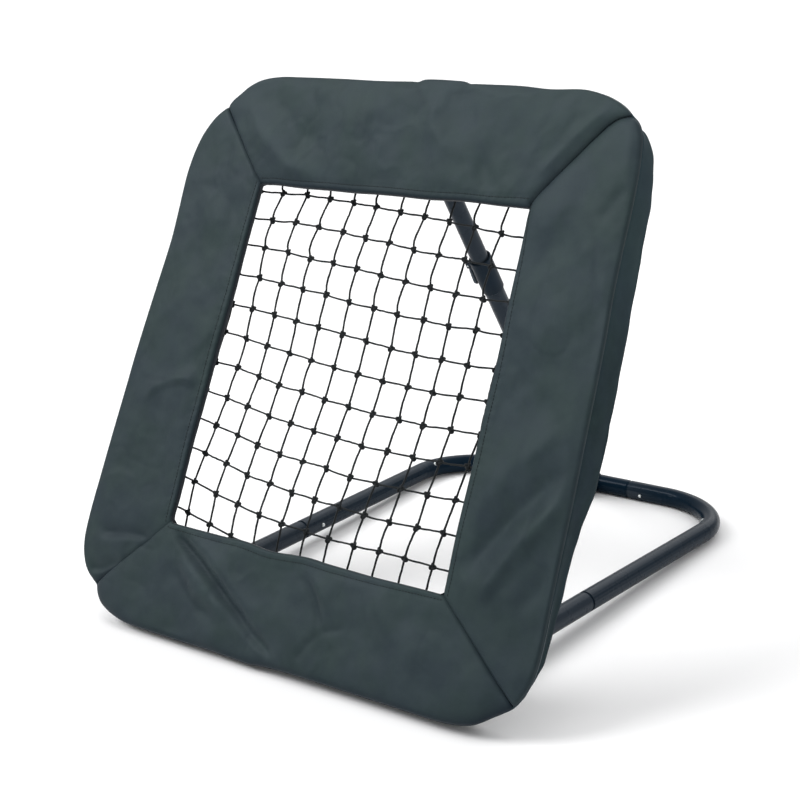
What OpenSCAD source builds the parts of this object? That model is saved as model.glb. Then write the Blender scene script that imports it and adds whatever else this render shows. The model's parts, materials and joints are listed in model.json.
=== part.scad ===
// Pitch back rebounder: a padded fabric frame round a knotted net, leaning back
// on a U-shaped tube base and held by one telescopic prop.
// Millimetres. +Z up, -Y is the rebound side, origin on the ground at the
// middle of the footprint.

/* [Panel] */
// Height of the panel measured up its slope
panel_h = 800; // [760:5:840]
// Width of the cover at its bottom edge
panel_w_bottom = 744; // [720:2:760]
// Width of the cover at its top edge
panel_w_top = 714; // [700:2:740]
// Lean of the panel from vertical in degrees
tilt = 25.5; // [20:0.5:30]
// Outer corner radius of the cover
corner_r = 105; // [90:5:115]
// Depth of the cover from front face to back hem
cover_depth = 50; // [50:0.5:54]
// Thickness of one layer of cover fabric
fabric_t = 2; // [1.5:0.5:2]
// Thickness of the foam pads
pad_t = 6; // [4:0.5:6]

/* [Opening and net] */
// Width of the opening in the cover
open_w = 446; // [420:2:460]
// Height of the lower border of the cover
open_bottom = 149; // [145:1:155]
// Height of the opening in the cover
open_h = 489.5; // [460:0.5:500]
// Mesh of the net across, knot to knot
mesh_w = 40.6; // [40.6:0.1:40.6]
// Mesh of the net up the slope, knot to knot
mesh_h = 43; // [43:1:43]
// Thickness of the net twine
twine = 2.4; // [1.5:0.1:3]
// Diameter of the cord round the edge of the net
border_d = 5; // [4:0.5:5]
// Diameter of the elastic loops that tie the net to the frame
loop_d = 2.4; // [2:0.1:2.4]

/* [Tubes] */
// Outer diameter of the frame, base and lower prop tubes
tube_d = 30; // [30:1:30]
// Outer diameter of the upper prop tube
upper_d = 27; // [27:1:27]
// Wall thickness of every tube
wall = 1.2; // [1:0.1:1.2]
// Bend radius of the panel frame
frame_bend = 85; // [75:5:90]
// Length of the reduced neck inside each tube joint
neck_len = 58; // [45:1:58]

/* [Base] */
// Distance from the ground-front edge to the rear cross tube
base_depth = 865; // [855:5:880]
// Bend radius of the base
base_bend = 125; // [110:5:130]
// Outward splay of each leg in degrees
splay = 2.4; // [1.5:0.1:3]
// Distance of each leg from the middle at the panel
leg_x = 237; // [235:1:238]
// Height of the leg axis above the panel pivot
leg_rise = 16; // [16:0.5:17]

/* [Prop] */
// Height of the prop's foot pivot
foot_z = 18; // [18:0.5:20]
// Distance of the foot pivot in front of the cross tube
foot_gap = 32; // [32:0.5:34]
// Height of the clamp collar's lower end along the prop
collar_at = 489; // [470:1:500]
// Length of the clamp collar
collar_len = 66; // [64:1:70]
// Radius of the clamp collar
collar_r = 17.2; // [17:0.1:17.5]

/* [Hidden] */
$fn = 48;
e = 0.5;
R = tube_d / 2;
RI = R - wall;
NR = RI - 0.08;              // outside of a reduced neck
NI = NR - wall;              // inside of a reduced neck
bolt_r = 3;
bore = 3.06;
swell = 0.08;                // how much thicker the base's bends are

frame_x = 338;               // side tubes of the panel frame
bar_v = 20;                  // bottom bar up the slope
bar_d = 30;                  // depth of the frame tubes behind the front face
top_v = panel_h - 20;
split_v = 400;

front_z = bar_v - bar_v * cos(tilt) + bar_d * sin(tilt);
bar_y = bar_v * sin(tilt) + bar_d * cos(tilt);
bar_z = bar_v;
mid_y = (base_depth + R) / 2;    // half of the footprint's depth

cross_z = R;
leg_slope = atan((bar_z + leg_rise - cross_z) / (base_depth - bar_y));
corner_x = leg_x + (base_depth - bar_y) * tan(splay);   // where leg and cross tube axes meet
bend_t = base_bend * tan((90 + splay) / 2);
joint_at = 482;              // leg joint, from the corner along the leg
stub_end = (base_depth - bar_y) / cos(splay) - 18.4;
cross_joint = 78;
leg_button_at = joint_at - 37;
rear_button_x = 101.5;

piv_v = 742;                 // prop's top pivot in the panel
piv_d = 52;
foot_y = base_depth - foot_gap;
top_y = piv_v * sin(tilt) + piv_d * cos(tilt);
top_z = front_z + piv_v * cos(tilt) - piv_d * sin(tilt);
prop_len = norm([top_y - foot_y, top_z - foot_z]);
prop_a = 90 - atan((top_z - foot_z) / (foot_y - top_y));
upper_from = 215;
lower_end = collar_at + 46;
cam_z = collar_at + 54;
cam_x = -19.9;

// cover outline: four corner circles on a slightly tapered panel
lean = (panel_w_bottom - panel_w_top) / 2 / panel_h;
cb = [panel_w_bottom / 2 - lean * corner_r - corner_r, corner_r];
ct = [panel_w_top / 2 + lean * corner_r - corner_r, panel_h - corner_r];
side_n = [ct[1] - cb[1], cb[0] - ct[0]] / norm([ct[1] - cb[1], cb[0] - ct[0]]);

// ---------- placing ----------
module place() translate([0, -mid_y, 0]) children();
// panel space: X across, Y back from the front face, Z up the slope
module panel() place() translate([0, 0, front_z]) rotate([-tilt, 0, 0]) children();
// base space: X across, Y along the base plane from the cross tube axis, Z up
module base() place() translate([0, base_depth, cross_z]) rotate([-leg_slope, 0, 0]) children();
// leg space of the right leg: Z along the leg towards the panel, X outward, Y up
module leg(side) base() mirror([side < 0 ? 1 : 0, 0, 0]) translate([corner_x, 0, 0]) rotate([90, 0, -splay]) children();
// prop space: Z up the prop from the foot pivot, Y to the rear
module prop() place() translate([0, foot_y, foot_z]) rotate([prop_a, 0, 0]) children();
module ends(x) for (s = [-1, 1]) translate([s * x, 0, 0]) children();

// ---------- shared shapes ----------
module rod(r, z0, z1) translate([0, 0, z0]) cylinder(r = r, h = z1 - z0);
module xrod(r, x0, x1) translate([x0, 0, 0]) rotate([0, 90, 0]) cylinder(r = r, h = x1 - x0);
module hex_head(af, h) cylinder(r = af / 2 / cos(30), h = h, $fn = 6);
module hex_bolt(x0, x1) {
    xrod(bolt_r, x0, x1);
    translate([x0 - 4, 0, 0]) rotate([0, 90, 0]) hex_head(10, 4);
    translate([x0 - 4.4, 0, 0]) rotate([0, 90, 0]) cylinder(r = 4, h = 0.6);
}
module lock_nut(x0) translate([x0, 0, 0]) rotate([0, 90, 0]) difference() {
    union() { hex_head(10, 4.4); translate([0, 0, 4.4]) cylinder(r1 = 4.6, r2 = 4, h = 1.6); }
    translate([0, 0, -1]) cylinder(r = bolt_r, h = 9);
}

// ---------- cover outline ----------
function off_pt(c, n, r) = [c[0] + n[0] * r, c[1] + n[1] * r];
module outline(inset) {
    r = corner_r - inset;
    n = side_n;
    m = [-side_n[0], side_n[1]];
    for (s = [-1, 1]) {
        translate([s * cb[0], cb[1]]) circle(r = r);
        translate([s * ct[0], ct[1]]) circle(r = r);
    }
    polygon([
        [-cb[0], cb[1] - r], [cb[0], cb[1] - r],
        off_pt(cb, n, r), off_pt(ct, n, r),
        [ct[0], ct[1] + r], [-ct[0], ct[1] + r],
        off_pt([-ct[0], ct[1]], m, r), off_pt([-cb[0], cb[1]], m, r)
    ]);
}
module hole(grow) translate([-open_w / 2 - grow, open_bottom - grow]) square([open_w + 2 * grow, open_h + 2 * grow]);
// a flat layer of the panel between two depths
module layer(d0, d1) translate([0, d1, 0]) rotate([90, 0, 0]) linear_extrude(height = d1 - d0) children();
o_t = open_bottom + open_h;
mt = [(panel_w_top - open_w) / 2, panel_h - o_t] * 3;
mb = [(panel_w_bottom - open_w) / 2, open_bottom] * 3;
module sector(side, gap) {
    w = open_w / 2;
    if (side == "top") translate([0, gap]) polygon([[-w, o_t], [w, o_t], [w + mt[0], o_t + mt[1]], [-w - mt[0], o_t + mt[1]]]);
    if (side == "bottom") translate([0, -gap]) polygon([[-w, open_bottom], [w, open_bottom], [w + mb[0], open_bottom - mb[1]], [-w - mb[0], open_bottom - mb[1]]]);
    if (side == "left") translate([-gap, 0]) polygon([[-w, open_bottom], [-w, o_t], [-w - mt[0], o_t + mt[1]], [-w - mb[0], open_bottom - mb[1]]]);
    if (side == "right") translate([gap, 0]) polygon([[w, open_bottom], [w, o_t], [w + mt[0], o_t + mt[1]], [w + mb[0], open_bottom - mb[1]]]);
}

// ---------- panel frame ----------
module half_frame(r, v_end, up) {
    bend_v = up ? top_v - frame_bend : bar_v + frame_bend;
    bx = frame_x - frame_bend;
    translate([0, bar_d, 0]) {
        ends(frame_x) rod(r, min(v_end, bend_v), max(v_end, bend_v));
        translate([0, 0, up ? top_v : bar_v]) xrod(r, -bx, bx);
        for (s = [0, 1]) mirror([s, 0, 0]) translate([bx, 0, bend_v]) mirror([0, 0, up ? 0 : 1])
            rotate([90, 0, 0]) rotate_extrude(angle = 90) translate([frame_bend, 0]) circle(r = r);
    }
}
module screw_holes(r) translate([0, bar_d, split_v + 28]) ends(frame_x) rotate([-90, 0, 0]) cylinder(r = r, h = R + 1);
module frame_upper() color("#2b3238") panel() difference() {
    half_frame(R, split_v, true);
    half_frame(RI, split_v - 1, true);
    screw_holes(2);
}
module frame_lower() color("#2b3238") panel() difference() {
    union() {
        half_frame(R, split_v - 4, false);
        translate([0, bar_d, split_v - 4]) ends(frame_x) { cylinder(r1 = R, r2 = NR, h = 3); cylinder(r = NR, h = neck_len + 4); }
    }
    half_frame(RI, split_v - 9, false);
    translate([0, bar_d, split_v - 10]) ends(frame_x) cylinder(r = NI, h = neck_len + 12);
    screw_holes(2);
}
module frame_screws() color("silver") panel() translate([0, bar_d, split_v + 28]) ends(frame_x) rotate([-90, 0, 0]) {
    translate([0, 0, 9]) cylinder(r = 2, h = R - 9);
    translate([0, 0, R]) cylinder(r = 4, h = 1);
    translate([0, 0, R + 1]) cylinder(r1 = 4, r2 = 2.4, h = 1.2);
}
ear_dir = [piv_v - top_v, piv_d - bar_d];
module prop_bracket_top() color("#2b3238") panel() difference() {
    ends(15.5) rotate([90, 0, 90]) translate([0, 0, -1.5]) linear_extrude(height = 3) {
        translate([piv_d, piv_v]) circle(r = 13);
        n = [-ear_dir[0], ear_dir[1]] / norm(ear_dir) * 13;
        polygon([[bar_d + n[0], top_v + n[1]], [piv_d + n[0], piv_v + n[1]], [piv_d - n[0], piv_v - n[1]], [bar_d - n[0], top_v - n[1]]]);
    }
    translate([0, bar_d, top_v]) xrod(R, -40, 40);
    translate([0, piv_d, piv_v]) xrod(bore, -40, 40);
}
module top_pivot_bolt() color("silver") panel() translate([0, piv_d, piv_v]) mirror([1, 0, 0]) hex_bolt(-17, 24);
module top_pivot_nut() color("silver") panel() translate([0, piv_d, piv_v]) mirror([1, 0, 0]) lock_nut(17);

// ---------- cover ----------
module face(side) color("#3f4d50") panel() layer(0, fabric_t) intersection() {
    difference() { outline(0); hole(0); }
    sector(side, 0);
}
module face_top() face("top");
module face_bottom() face("bottom");
module face_left() face("left");
module face_right() face("right");
seam_x = cb[0];
// everything outside three flats round the bottom bar's rear lower quarter
module under(r) translate([-500, 0, 0]) rotate([90, 0, 90]) linear_extrude(height = 1000) let (
    q = [for (k = [0 : 3]) [bar_d + r * cos(30 * k - 90), bar_v + r * sin(30 * k - 90)]]
) polygon(concat([q[0] + (q[0] - q[1]) * 0.5], q, [[bar_d + 60, bar_v], [bar_d + 60, -20], [q[0][0] - 5, -20]]));
module band_corners() difference() {
    layer(fabric_t, cover_depth - fabric_t) outline(0);
    difference() { layer(fabric_t - 1, cover_depth + 1) outline(fabric_t); under(bar_v - 3); }
    under(bar_v);
    translate([-seam_x, -1, -1]) cube([2 * seam_x, cover_depth + 2, 30]);
}
module side_band() color("#38464a") panel() difference() {
    union() {
        band_corners();
        // the lower run wraps round the bottom bar
        translate([-seam_x, 0, 0]) rotate([90, 0, 90]) linear_extrude(height = 2 * seam_x) {
            translate([fabric_t, 0]) square([bar_d - fabric_t, fabric_t]);
            intersection() {
                translate([bar_d, bar_v]) difference() { circle(r = bar_v); circle(r = bar_v - fabric_t); }
                translate([bar_d, 0]) square([60, bar_v]);
            }
        }
    }
    // clearance for the two leg brackets
    ends(leg_x) translate([-32, bar_d + 8, -5]) cube([64, 30, 40]);
}
module hem_edge(r) polygon(concat(
    [for (q = arc(0, r, -90, 0, 8)) [cb[0] + q[0], cb[1] + q[1]]],
    [for (q = arc(0, r, 0, 90, 8)) [ct[0] + q[0], ct[1] + q[1]]],
    [for (q = arc(0, r, 90, 180, 8)) [-ct[0] + q[0], ct[1] + q[1]]],
    [for (q = arc(0, r, 180, 270, 8)) [-cb[0] + q[0], cb[1] + q[1]]]
));
module back_hem() color("#38464a") panel() layer(cover_depth - fabric_t, cover_depth) difference() {
    outline(0);
    hem_edge(corner_r - 48);
    translate([-500, -1]) square([1000, bar_v + 1]);
    // notches for the legs and for the prop bracket
    ends(leg_x) translate([-32, -10]) square([64, 120]);
    translate([-26, panel_h - 20 - 40]) square([52, 40]);
}
module cover_lining() color("#2f3a3d") panel() layer(pad_t + 2.6, pad_t + 4) difference() { outline(fabric_t); hole(2); }
module opening_binding() color("#1d2426") panel() layer(fabric_t, pad_t + 4) difference() { hole(2); hole(0); }
module pad(side) color("#20272a") panel() layer(fabric_t + 0.3, fabric_t + 0.3 + pad_t) intersection() {
    difference() { outline(14); hole(4); }
    sector(side, 1.2);
}
module pad_top() pad("top");
module pad_bottom() pad("bottom");
module pad_left() pad("left");
module pad_right() pad("right");

// ---------- net ----------
net_x = 300;
net_v0 = 72;
net_v1 = 740;
row_0 = 122;                 // first row of knots up the slope
cols = 7;                    // columns of knots on each side of the middle
module rebound_net() color("#202224") panel() layer(bar_d - 1.5, bar_d + 1.5) {
    for (k = [-cols : cols]) translate([k * mesh_w - twine / 2, net_v0]) square([twine, net_v1 - net_v0]);
    for (v = [row_0 : mesh_h : net_v1 - 10]) translate([-net_x, v - twine / 2]) square([2 * net_x, twine]);
}
cord_c = 20;
module net_border_cord() color("#202224") panel() translate([0, bar_d, (net_v0 + net_v1) / 2]) {
    hx = net_x + border_d / 2;
    hv = (net_v1 - net_v0) / 2 + border_d / 2;
    r = border_d / 2;
    ends(hx) rod(r, -hv + cord_c, hv - cord_c);
    for (s = [-1, 1]) translate([0, 0, s * hv]) xrod(r, -hx + cord_c, hx - cord_c);
    for (i = [0, 1], j = [0, 1]) mirror([i, 0, 0]) mirror([0, 0, j]) translate([hx - cord_c, 0, hv - cord_c])
        rotate([90, 0, 0]) rotate_extrude(angle = 90) translate([cord_c, 0]) circle(r = r);
}
// one elastic loop round a frame tube and the border cord, in its own XY plane
function arc(c, r, a0, a1, n) = [for (i = [0 : n]) [c + r * cos(a0 + (a1 - a0) * i / n), r * sin(a0 + (a1 - a0) * i / n)]];
function belt(a, b, gap) = let (f = acos((a - b) / gap)) concat(arc(0, a, f, 360 - f, 14), arc(gap, b, -f, f, 5));
module tie_loop(gap) linear_extrude(height = loop_d, center = true) difference() {
    polygon(belt(R + loop_d + 0.3, border_d / 2 + loop_d + 0.3, gap));
    polygon(belt(R + 0.35, border_d / 2 + 0.35, gap));
}
module net_tie_loops() color("#101214") panel() translate([0, bar_d, 0]) {
    side_gap = frame_x - net_x - border_d / 2;
    for (v = [row_0 + 0.5 * mesh_h : 2 * mesh_h : net_v1 - mesh_h]) for (s = [0, 1]) mirror([s, 0, 0])
        translate([-frame_x, 0, v]) tie_loop(side_gap);
    for (k = [1.5, 3.5, 5.5]) ends(k * mesh_w) translate([0, 0, top_v]) rotate([0, 90, 0]) tie_loop(top_v - net_v1 - border_d / 2);
    for (k = [1.5, 3.5]) ends(k * mesh_w) translate([0, 0, bar_v]) rotate([0, -90, 0]) tie_loop(net_v0 - border_d / 2 - bar_v);
}

// ---------- base ----------
// the bends are a hair thicker than the straight runs, which end inside them
module rear_half(r, side, x_end) {
    mirror([side < 0 ? 1 : 0, 0, 0]) {
        translate([corner_x, 0, 0]) rotate([90, 0, -splay]) rod(r, bend_t - 0.6, joint_at);
        translate([corner_x - bend_t, -base_bend, 0]) rotate([0, 0, -splay]) rotate_extrude(angle = 90 + splay) translate([base_bend, 0]) circle(r = r + swell);
        xrod(r, x_end, corner_x - bend_t + 0.6);
    }
}
module button_hole_leg(side) leg(side) translate([0, 0, leg_button_at]) xrod(3.06, -R - 2, -6);
module button_hole_rear() base() translate([rear_button_x, 0, 0]) rotate([12, 0, 0]) rotate([0, 0, -90]) xrod(3.06, 6, R + 2);
module on_bend(side) base() mirror([side < 0 ? 1 : 0, 0, 0]) translate([corner_x - bend_t, -base_bend, 0])
    rotate([0, 0, 14 - splay]) translate([base_bend, 0, 0]) rotate([0, -136, 0]) children();
module rivet_hole(side) on_bend(side) xrod(2, 8, R + 2);
module base_rear_right() color("#262d33") difference() {
    base() difference() {
        rear_half(R, 1, cross_joint);
        rear_half(RI, 1, cross_joint - 1);
        translate([corner_x, 0, 0]) rotate([90, 0, -splay]) rod(RI, joint_at - 1, joint_at + 1);
    }
    button_hole_leg(1);
    button_hole_rear();
    rivet_hole(1);
}
module base_rear_left() color("#262d33") difference() {
    base() difference() {
        union() {
            rear_half(R, -1, -cross_joint + 5);
            translate([cross_joint - 5, 0, 0]) rotate([0, 90, 0]) { cylinder(r1 = R, r2 = NR, h = 3.4); cylinder(r = NR, h = neck_len + 5); }
        }
        rear_half(RI, -1, -cross_joint + 10);
        xrod(NI, cross_joint - 11, cross_joint + neck_len + 2);
        mirror([1, 0, 0]) translate([corner_x, 0, 0]) rotate([90, 0, -splay]) rod(RI, joint_at - 1, joint_at + 1);
    }
    button_hole_leg(-1);
    button_hole_rear();
    rivet_hole(-1);
}
module leg_bolt_at() for (z = [stub_end - 35, stub_end - 12]) translate([0, 0, z]) children();
module base_front(side) color("#262d33") difference() {
    leg(side) difference() {
        union() {
            rod(R, joint_at + 5, stub_end);
            translate([0, 0, joint_at + 1.6]) cylinder(r1 = NR, r2 = R, h = 3.4);
            rod(NR, joint_at - neck_len, joint_at + 5);
        }
        rod(RI, joint_at + 10, stub_end + 1);
        rod(NI, joint_at - neck_len - 1, joint_at + 11);
        leg_bolt_at() xrod(bore, -30, 30);
    }
    button_hole_leg(side);
}
module base_front_left() base_front(-1);
module base_front_right() base_front(1);
module bar_axis() place() translate([0, bar_y, bar_z]) children();
bl = (base_depth - bar_y) / cos(splay);
module pivot_bracket(side) color("#262d33") difference() {
    union() {
        bar_axis() translate([side * leg_x, 0, 0]) xrod(17.4, -17.6, 17.6);
        leg(side) for (s = [-1, 1]) translate([s * (R + 1.3) - 1.25, 0, 0]) rotate([90, 0, 90]) linear_extrude(height = 2.5)
            polygon([[-13, stub_end - 47], [13, stub_end - 47], [13, stub_end + 4], [-3, bl + 12], [-leg_rise, bl], [-leg_rise - 14.6, bl - 9.4]]);
    }
    bar_axis() xrod(R + 0.06, -400, 400);
    leg(side) leg_bolt_at() xrod(bore, -30, 30);
    leg(side) rod(R + 0.05, stub_end - 60, stub_end + 0.6);
}
module pivot_bracket_left() pivot_bracket(-1);
module pivot_bracket_right() pivot_bracket(1);
module leg_end_caps() color("#14181b") for (s = [-1, 1]) leg(s) { rod(RI - 0.05, stub_end - 8, stub_end); rod(R - 0.3, stub_end, stub_end + 0.4); }
module leg_bolts() color("silver") for (s = [-1, 1]) leg(s) leg_bolt_at() mirror([1, 0, 0]) hex_bolt(-R - 2.55, R + 9.5);
module leg_nuts() color("silver") for (s = [-1, 1]) leg(s) leg_bolt_at() mirror([1, 0, 0]) lock_nut(R + 2.55);
module prop_bracket_foot() color("#262d33") difference() {
    place() ends(17.1) rotate([90, 0, 90]) translate([0, 0, -1.5]) linear_extrude(height = 3) {
        translate([foot_y, foot_z]) circle(r = 12);
        polygon([[foot_y, foot_z + 12], [base_depth - 4, 2 * R + 4], [base_depth + 3, 2 * R + 1], [base_depth, cross_z], [base_depth - 12, 3], [foot_y + 1, foot_z - 12]]);
    }
    base() xrod(R, -60, 60);
    place() translate([0, foot_y, foot_z]) xrod(bore, -60, 60);
}
module foot_pivot_bolt() color("silver") place() translate([0, foot_y, foot_z]) mirror([1, 0, 0]) hex_bolt(-18.6, 25.6);
module foot_pivot_nut() color("silver") place() translate([0, foot_y, foot_z]) mirror([1, 0, 0]) lock_nut(18.6);
module bend_rivets() color("silver") for (s = [-1, 1]) on_bend(s) {
    xrod(2, 12, R + swell + 0.04);
    translate([R + swell + 0.04, 0, 0]) rotate([0, 90, 0]) { cylinder(r = 3.2, h = 0.5); translate([0, 0, 0.5]) cylinder(r1 = 3.2, r2 = 1.8, h = 0.9); }
}

// ---------- snap buttons ----------
module snap_button() {
    xrod(3, 8, R + 0.2);
    translate([R + 0.2, 0, 0]) sphere(r = 3);
    xrod(4.6, 7.6, 8.6);
}
module snap_spring() rotate([90, 0, 0]) translate([0, 0, -3]) linear_extrude(height = 6)
    polygon([[-12, -8], [-12, 27], [-10.4, 29.4], [-7.6, 29.6], [4, -4], [3.2, -4], [-8.2, 28.6], [-10, 28.5], [-11.2, 26.8], [-11.2, -8]]);
module leg_button(side) leg(side) translate([0, 0, leg_button_at]) mirror([1, 0, 0]) snap_button();
module at_rear_button() base() translate([rear_button_x, 0, 0]) rotate([12, 0, 0]) rotate([0, 0, -90]) children();
module button_left() color("silver") leg_button(-1);
module button_right() color("silver") leg_button(1);
module button_rear() color("silver") at_rear_button() snap_button();
module button_springs() color("gray") {
    for (s = [-1, 1]) leg(s) translate([0, 0, leg_button_at]) mirror([1, 0, 0]) mirror([0, 0, 1]) snap_spring();
    at_rear_button() rotate([-90, 0, 0]) snap_spring();
}

// ---------- prop ----------
module prop_lower() color("#262d33") prop() difference() {
    rod(R, -7, lower_end);
    rod(RI, -8, lower_end + 1);
    xrod(bore, -30, 30);
}
module prop_foot_plug() color("#14181b") prop() difference() {
    rod(RI, -6.6, 16);
    xrod(bore, -30, 30);
}
module cam_pocket() translate([-30, -6.4, cam_z - 6.5]) cube([20, 12.8, 13.5]);
module clamp_collar() color("#1d2226") prop() difference() {
    union() {
        rod(collar_r, collar_at + 1, collar_at + collar_len - 1.4);
        translate([0, 0, collar_at]) cylinder(r1 = collar_r - 1, r2 = collar_r, h = 1);
        translate([0, 0, collar_at + collar_len - 1.4]) cylinder(r1 = collar_r, r2 = collar_r - 1.4, h = 1.4);
        translate([cam_x - 3, -9.8, cam_z - 5.5]) cube([8, 19.6, 10]);
    }
    rod(R, collar_at - 1, lower_end);
    rod(upper_d / 2 + 0.08, lower_end - 1, collar_at + collar_len + 1);
    rod(R + 0.4, collar_at + collar_len - 5, collar_at + collar_len + 1);
    cam_pocket();
    translate([cam_x, 0, cam_z]) rotate([90, 0, 0]) cylinder(r = 1.5, h = 30, center = true);
}
module lever_pin() color("silver") prop() translate([cam_x, 0, cam_z]) rotate([90, 0, 0]) cylinder(r = 1.5, h = 20.4, center = true);
module clamp_shoe() color("#333a3e") prop() difference() {
    translate([-15.9, -5.6, cam_z - 5]) cube([5, 11.2, 10]);
    rod(upper_d / 2 + 0.08, 400, 700);
}
module cam_lever() color("#9aa1a5") prop() difference() {
    union() {
        translate([cam_x + 0.25, 0, cam_z]) rotate([90, 0, 0]) cylinder(r = 3.7, h = 12, center = true);
        translate([cam_x - 2.6, -6, cam_z - 38]) cube([3.2, 12, 38]);
        translate([cam_x - 2.6, 0, cam_z - 38]) rotate([0, 90, 0]) cylinder(r = 6, h = 3.2);
    }
    translate([cam_x, 0, cam_z]) rotate([90, 0, 0]) cylinder(r = 1.56, h = 30, center = true);
}
// the top hole is a short slanted slot, so that the top bolt stays clear as the prop swings
slot_to = [-3.9, -6.3];
module prop_slot() for (k = [0 : 1 / 3 : 1]) translate([0, k * slot_to[0], prop_len + k * slot_to[1]]) xrod(3.45, -30, 30);
module prop_upper() color("#262d33") prop() difference() {
    rod(upper_d / 2, upper_from, prop_len + 8);
    rod(upper_d / 2 - wall, upper_from - 1, prop_len + 9);
    prop_slot();
}
module prop_top_cap() color("#14181b") prop() { rod(upper_d / 2 - wall, prop_len + 4.4, prop_len + 8); rod(upper_d / 2 - 0.3, prop_len + 8, prop_len + 9.4); }
module prop_guide_bush() color("#14181b") prop() difference() {
    union() { rod(RI - 0.06, upper_from - 10, upper_from); rod(upper_d / 2 - wall, upper_from, upper_from + 12); }
    rod(9, upper_from - 11, upper_from + 13);
}

frame_upper();
frame_lower();
frame_screws();
prop_bracket_top();
top_pivot_bolt();
top_pivot_nut();
face_top();
face_bottom();
face_left();
face_right();
side_band();
back_hem();
cover_lining();
opening_binding();
pad_top();
pad_bottom();
pad_left();
pad_right();
rebound_net();
net_border_cord();
net_tie_loops();
base_rear_left();
base_rear_right();
base_front_left();
base_front_right();
pivot_bracket_left();
pivot_bracket_right();
leg_end_caps();
leg_bolts();
leg_nuts();
prop_bracket_foot();
foot_pivot_bolt();
foot_pivot_nut();
bend_rivets();
button_springs();
button_left();
button_right();
button_rear();
prop_lower();
prop_foot_plug();
clamp_collar();
lever_pin();
clamp_shoe();
cam_lever();
prop_upper();
prop_top_cap();
prop_guide_bush();
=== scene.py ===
import bpy, math, json
import numpy as np
from mathutils import Vector, Matrix


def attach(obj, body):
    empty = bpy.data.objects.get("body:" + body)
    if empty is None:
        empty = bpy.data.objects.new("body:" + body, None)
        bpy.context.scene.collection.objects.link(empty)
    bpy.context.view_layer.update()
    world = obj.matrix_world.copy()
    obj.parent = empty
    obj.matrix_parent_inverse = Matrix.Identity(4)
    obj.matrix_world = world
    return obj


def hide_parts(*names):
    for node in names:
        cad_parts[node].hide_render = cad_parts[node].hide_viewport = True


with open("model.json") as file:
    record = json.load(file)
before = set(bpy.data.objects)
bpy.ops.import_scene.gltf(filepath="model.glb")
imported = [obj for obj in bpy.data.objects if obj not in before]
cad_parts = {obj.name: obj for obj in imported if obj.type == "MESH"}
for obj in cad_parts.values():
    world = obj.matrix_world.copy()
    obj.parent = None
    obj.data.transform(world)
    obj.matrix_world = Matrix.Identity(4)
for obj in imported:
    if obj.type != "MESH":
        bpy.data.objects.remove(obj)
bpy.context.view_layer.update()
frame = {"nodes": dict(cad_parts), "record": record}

NODES = frame["nodes"]

# ---------------------------------------------------------------- camera
def camera():
    az, el, roll = math.radians(35.175), math.radians(11.866), math.radians(-0.683)
    back = Vector((math.sin(az) * math.cos(el), -math.cos(az) * math.cos(el), math.sin(el)))
    right = Vector((0, 0, 1)).cross(back).normalized()
    up = back.cross(right)
    c, s = math.cos(roll), math.sin(roll)
    r2, u2 = c * right + s * up, -s * right + c * up
    m = Matrix(((r2.x, u2.x, back.x, 1.2200), (r2.y, u2.y, back.y, -1.8685), (r2.z, u2.z, back.z, 0.9146), (0, 0, 0, 1)))
    cam = bpy.data.cameras.new("camera")
    cam.sensor_width = 36
    cam.lens = 1570.9 / 800 * 36
    cam.shift_y = -0.15
    cam.clip_end = 200
    o = bpy.data.objects.new("camera", cam)
    o.matrix_world = m
    bpy.context.scene.collection.objects.link(o)
    bpy.context.scene.camera = o
camera()

# ---------------------------------------------------------------- stage and light
sc = bpy.context.scene
sc.view_settings.view_transform = "Standard"
world = bpy.data.worlds.new("studio")
sc.world = world
world.use_nodes = True
bg = world.node_tree.nodes["Background"]
bg.inputs["Color"].default_value = (1, 1, 1, 1)
bg.inputs["Strength"].default_value = 0.68
me = bpy.data.meshes.new("floor")
me.from_pydata([(-60, -60, 0), (60, -60, 0), (60, 60, 0), (-60, 60, 0)], [], [(0, 1, 2, 3)])
floor = bpy.data.objects.new("floor", me)
sc.collection.objects.link(floor)
fm = bpy.data.materials.new("floor")
fm.use_nodes = True
fm.node_tree.nodes["Principled BSDF"].inputs["Base Color"].default_value = (0.96, 0.96, 0.965, 1)
fm.node_tree.nodes["Principled BSDF"].inputs["Roughness"].default_value = 0.9
fm.node_tree.nodes["Principled BSDF"].inputs["Specular IOR Level"].default_value = 0.1
me.materials.append(fm)
def area(name, loc, target, size, power, color=(1, 1, 1)):
    l = bpy.data.lights.new(name, "AREA")
    l.energy = power
    l.color = color
    l.shape = "RECTANGLE"
    l.size, l.size_y = size
    o = bpy.data.objects.new(name, l)
    o.location = loc
    o.rotation_euler = (Vector(target) - Vector(loc)).to_track_quat("-Z", "Y").to_euler()
    sc.collection.objects.link(o)
def sun(name, toward, strength, angle, color=(1, 1, 1)):
    l = bpy.data.lights.new(name, "SUN")
    l.energy = strength
    l.angle = math.radians(angle)
    l.color = color
    o = bpy.data.objects.new(name, l)
    o.rotation_euler = Vector(toward).to_track_quat("-Z", "Y").to_euler()
    sc.collection.objects.link(o)
sun("key", (0.52, 0.50, -0.70), 1.85, 28)
sun("back_fill", (0.10, -0.75, -0.60), 0.9, 50)
area("top", (-0.2, -0.6, 2.6), (0, 0.05, 0.5), (1.6, 1.2), 10)

# ---------------------------------------------------------------- panel frame of reference
TILT = math.radians(25.5)
ST, CT = math.sin(TILT), math.cos(TILT)
Z0 = 20 - 20 * CT + 30 * ST
def place(p):
    """panel coordinates in mm (across, up the slope, depth behind the front face) to metres"""
    p = np.asarray(p, float)
    x, v, d = p[..., 0], p[..., 1], p[..., 2]
    return np.stack([x, v * ST + d * CT - 440, Z0 + v * CT - d * ST], -1) / 1000

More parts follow.
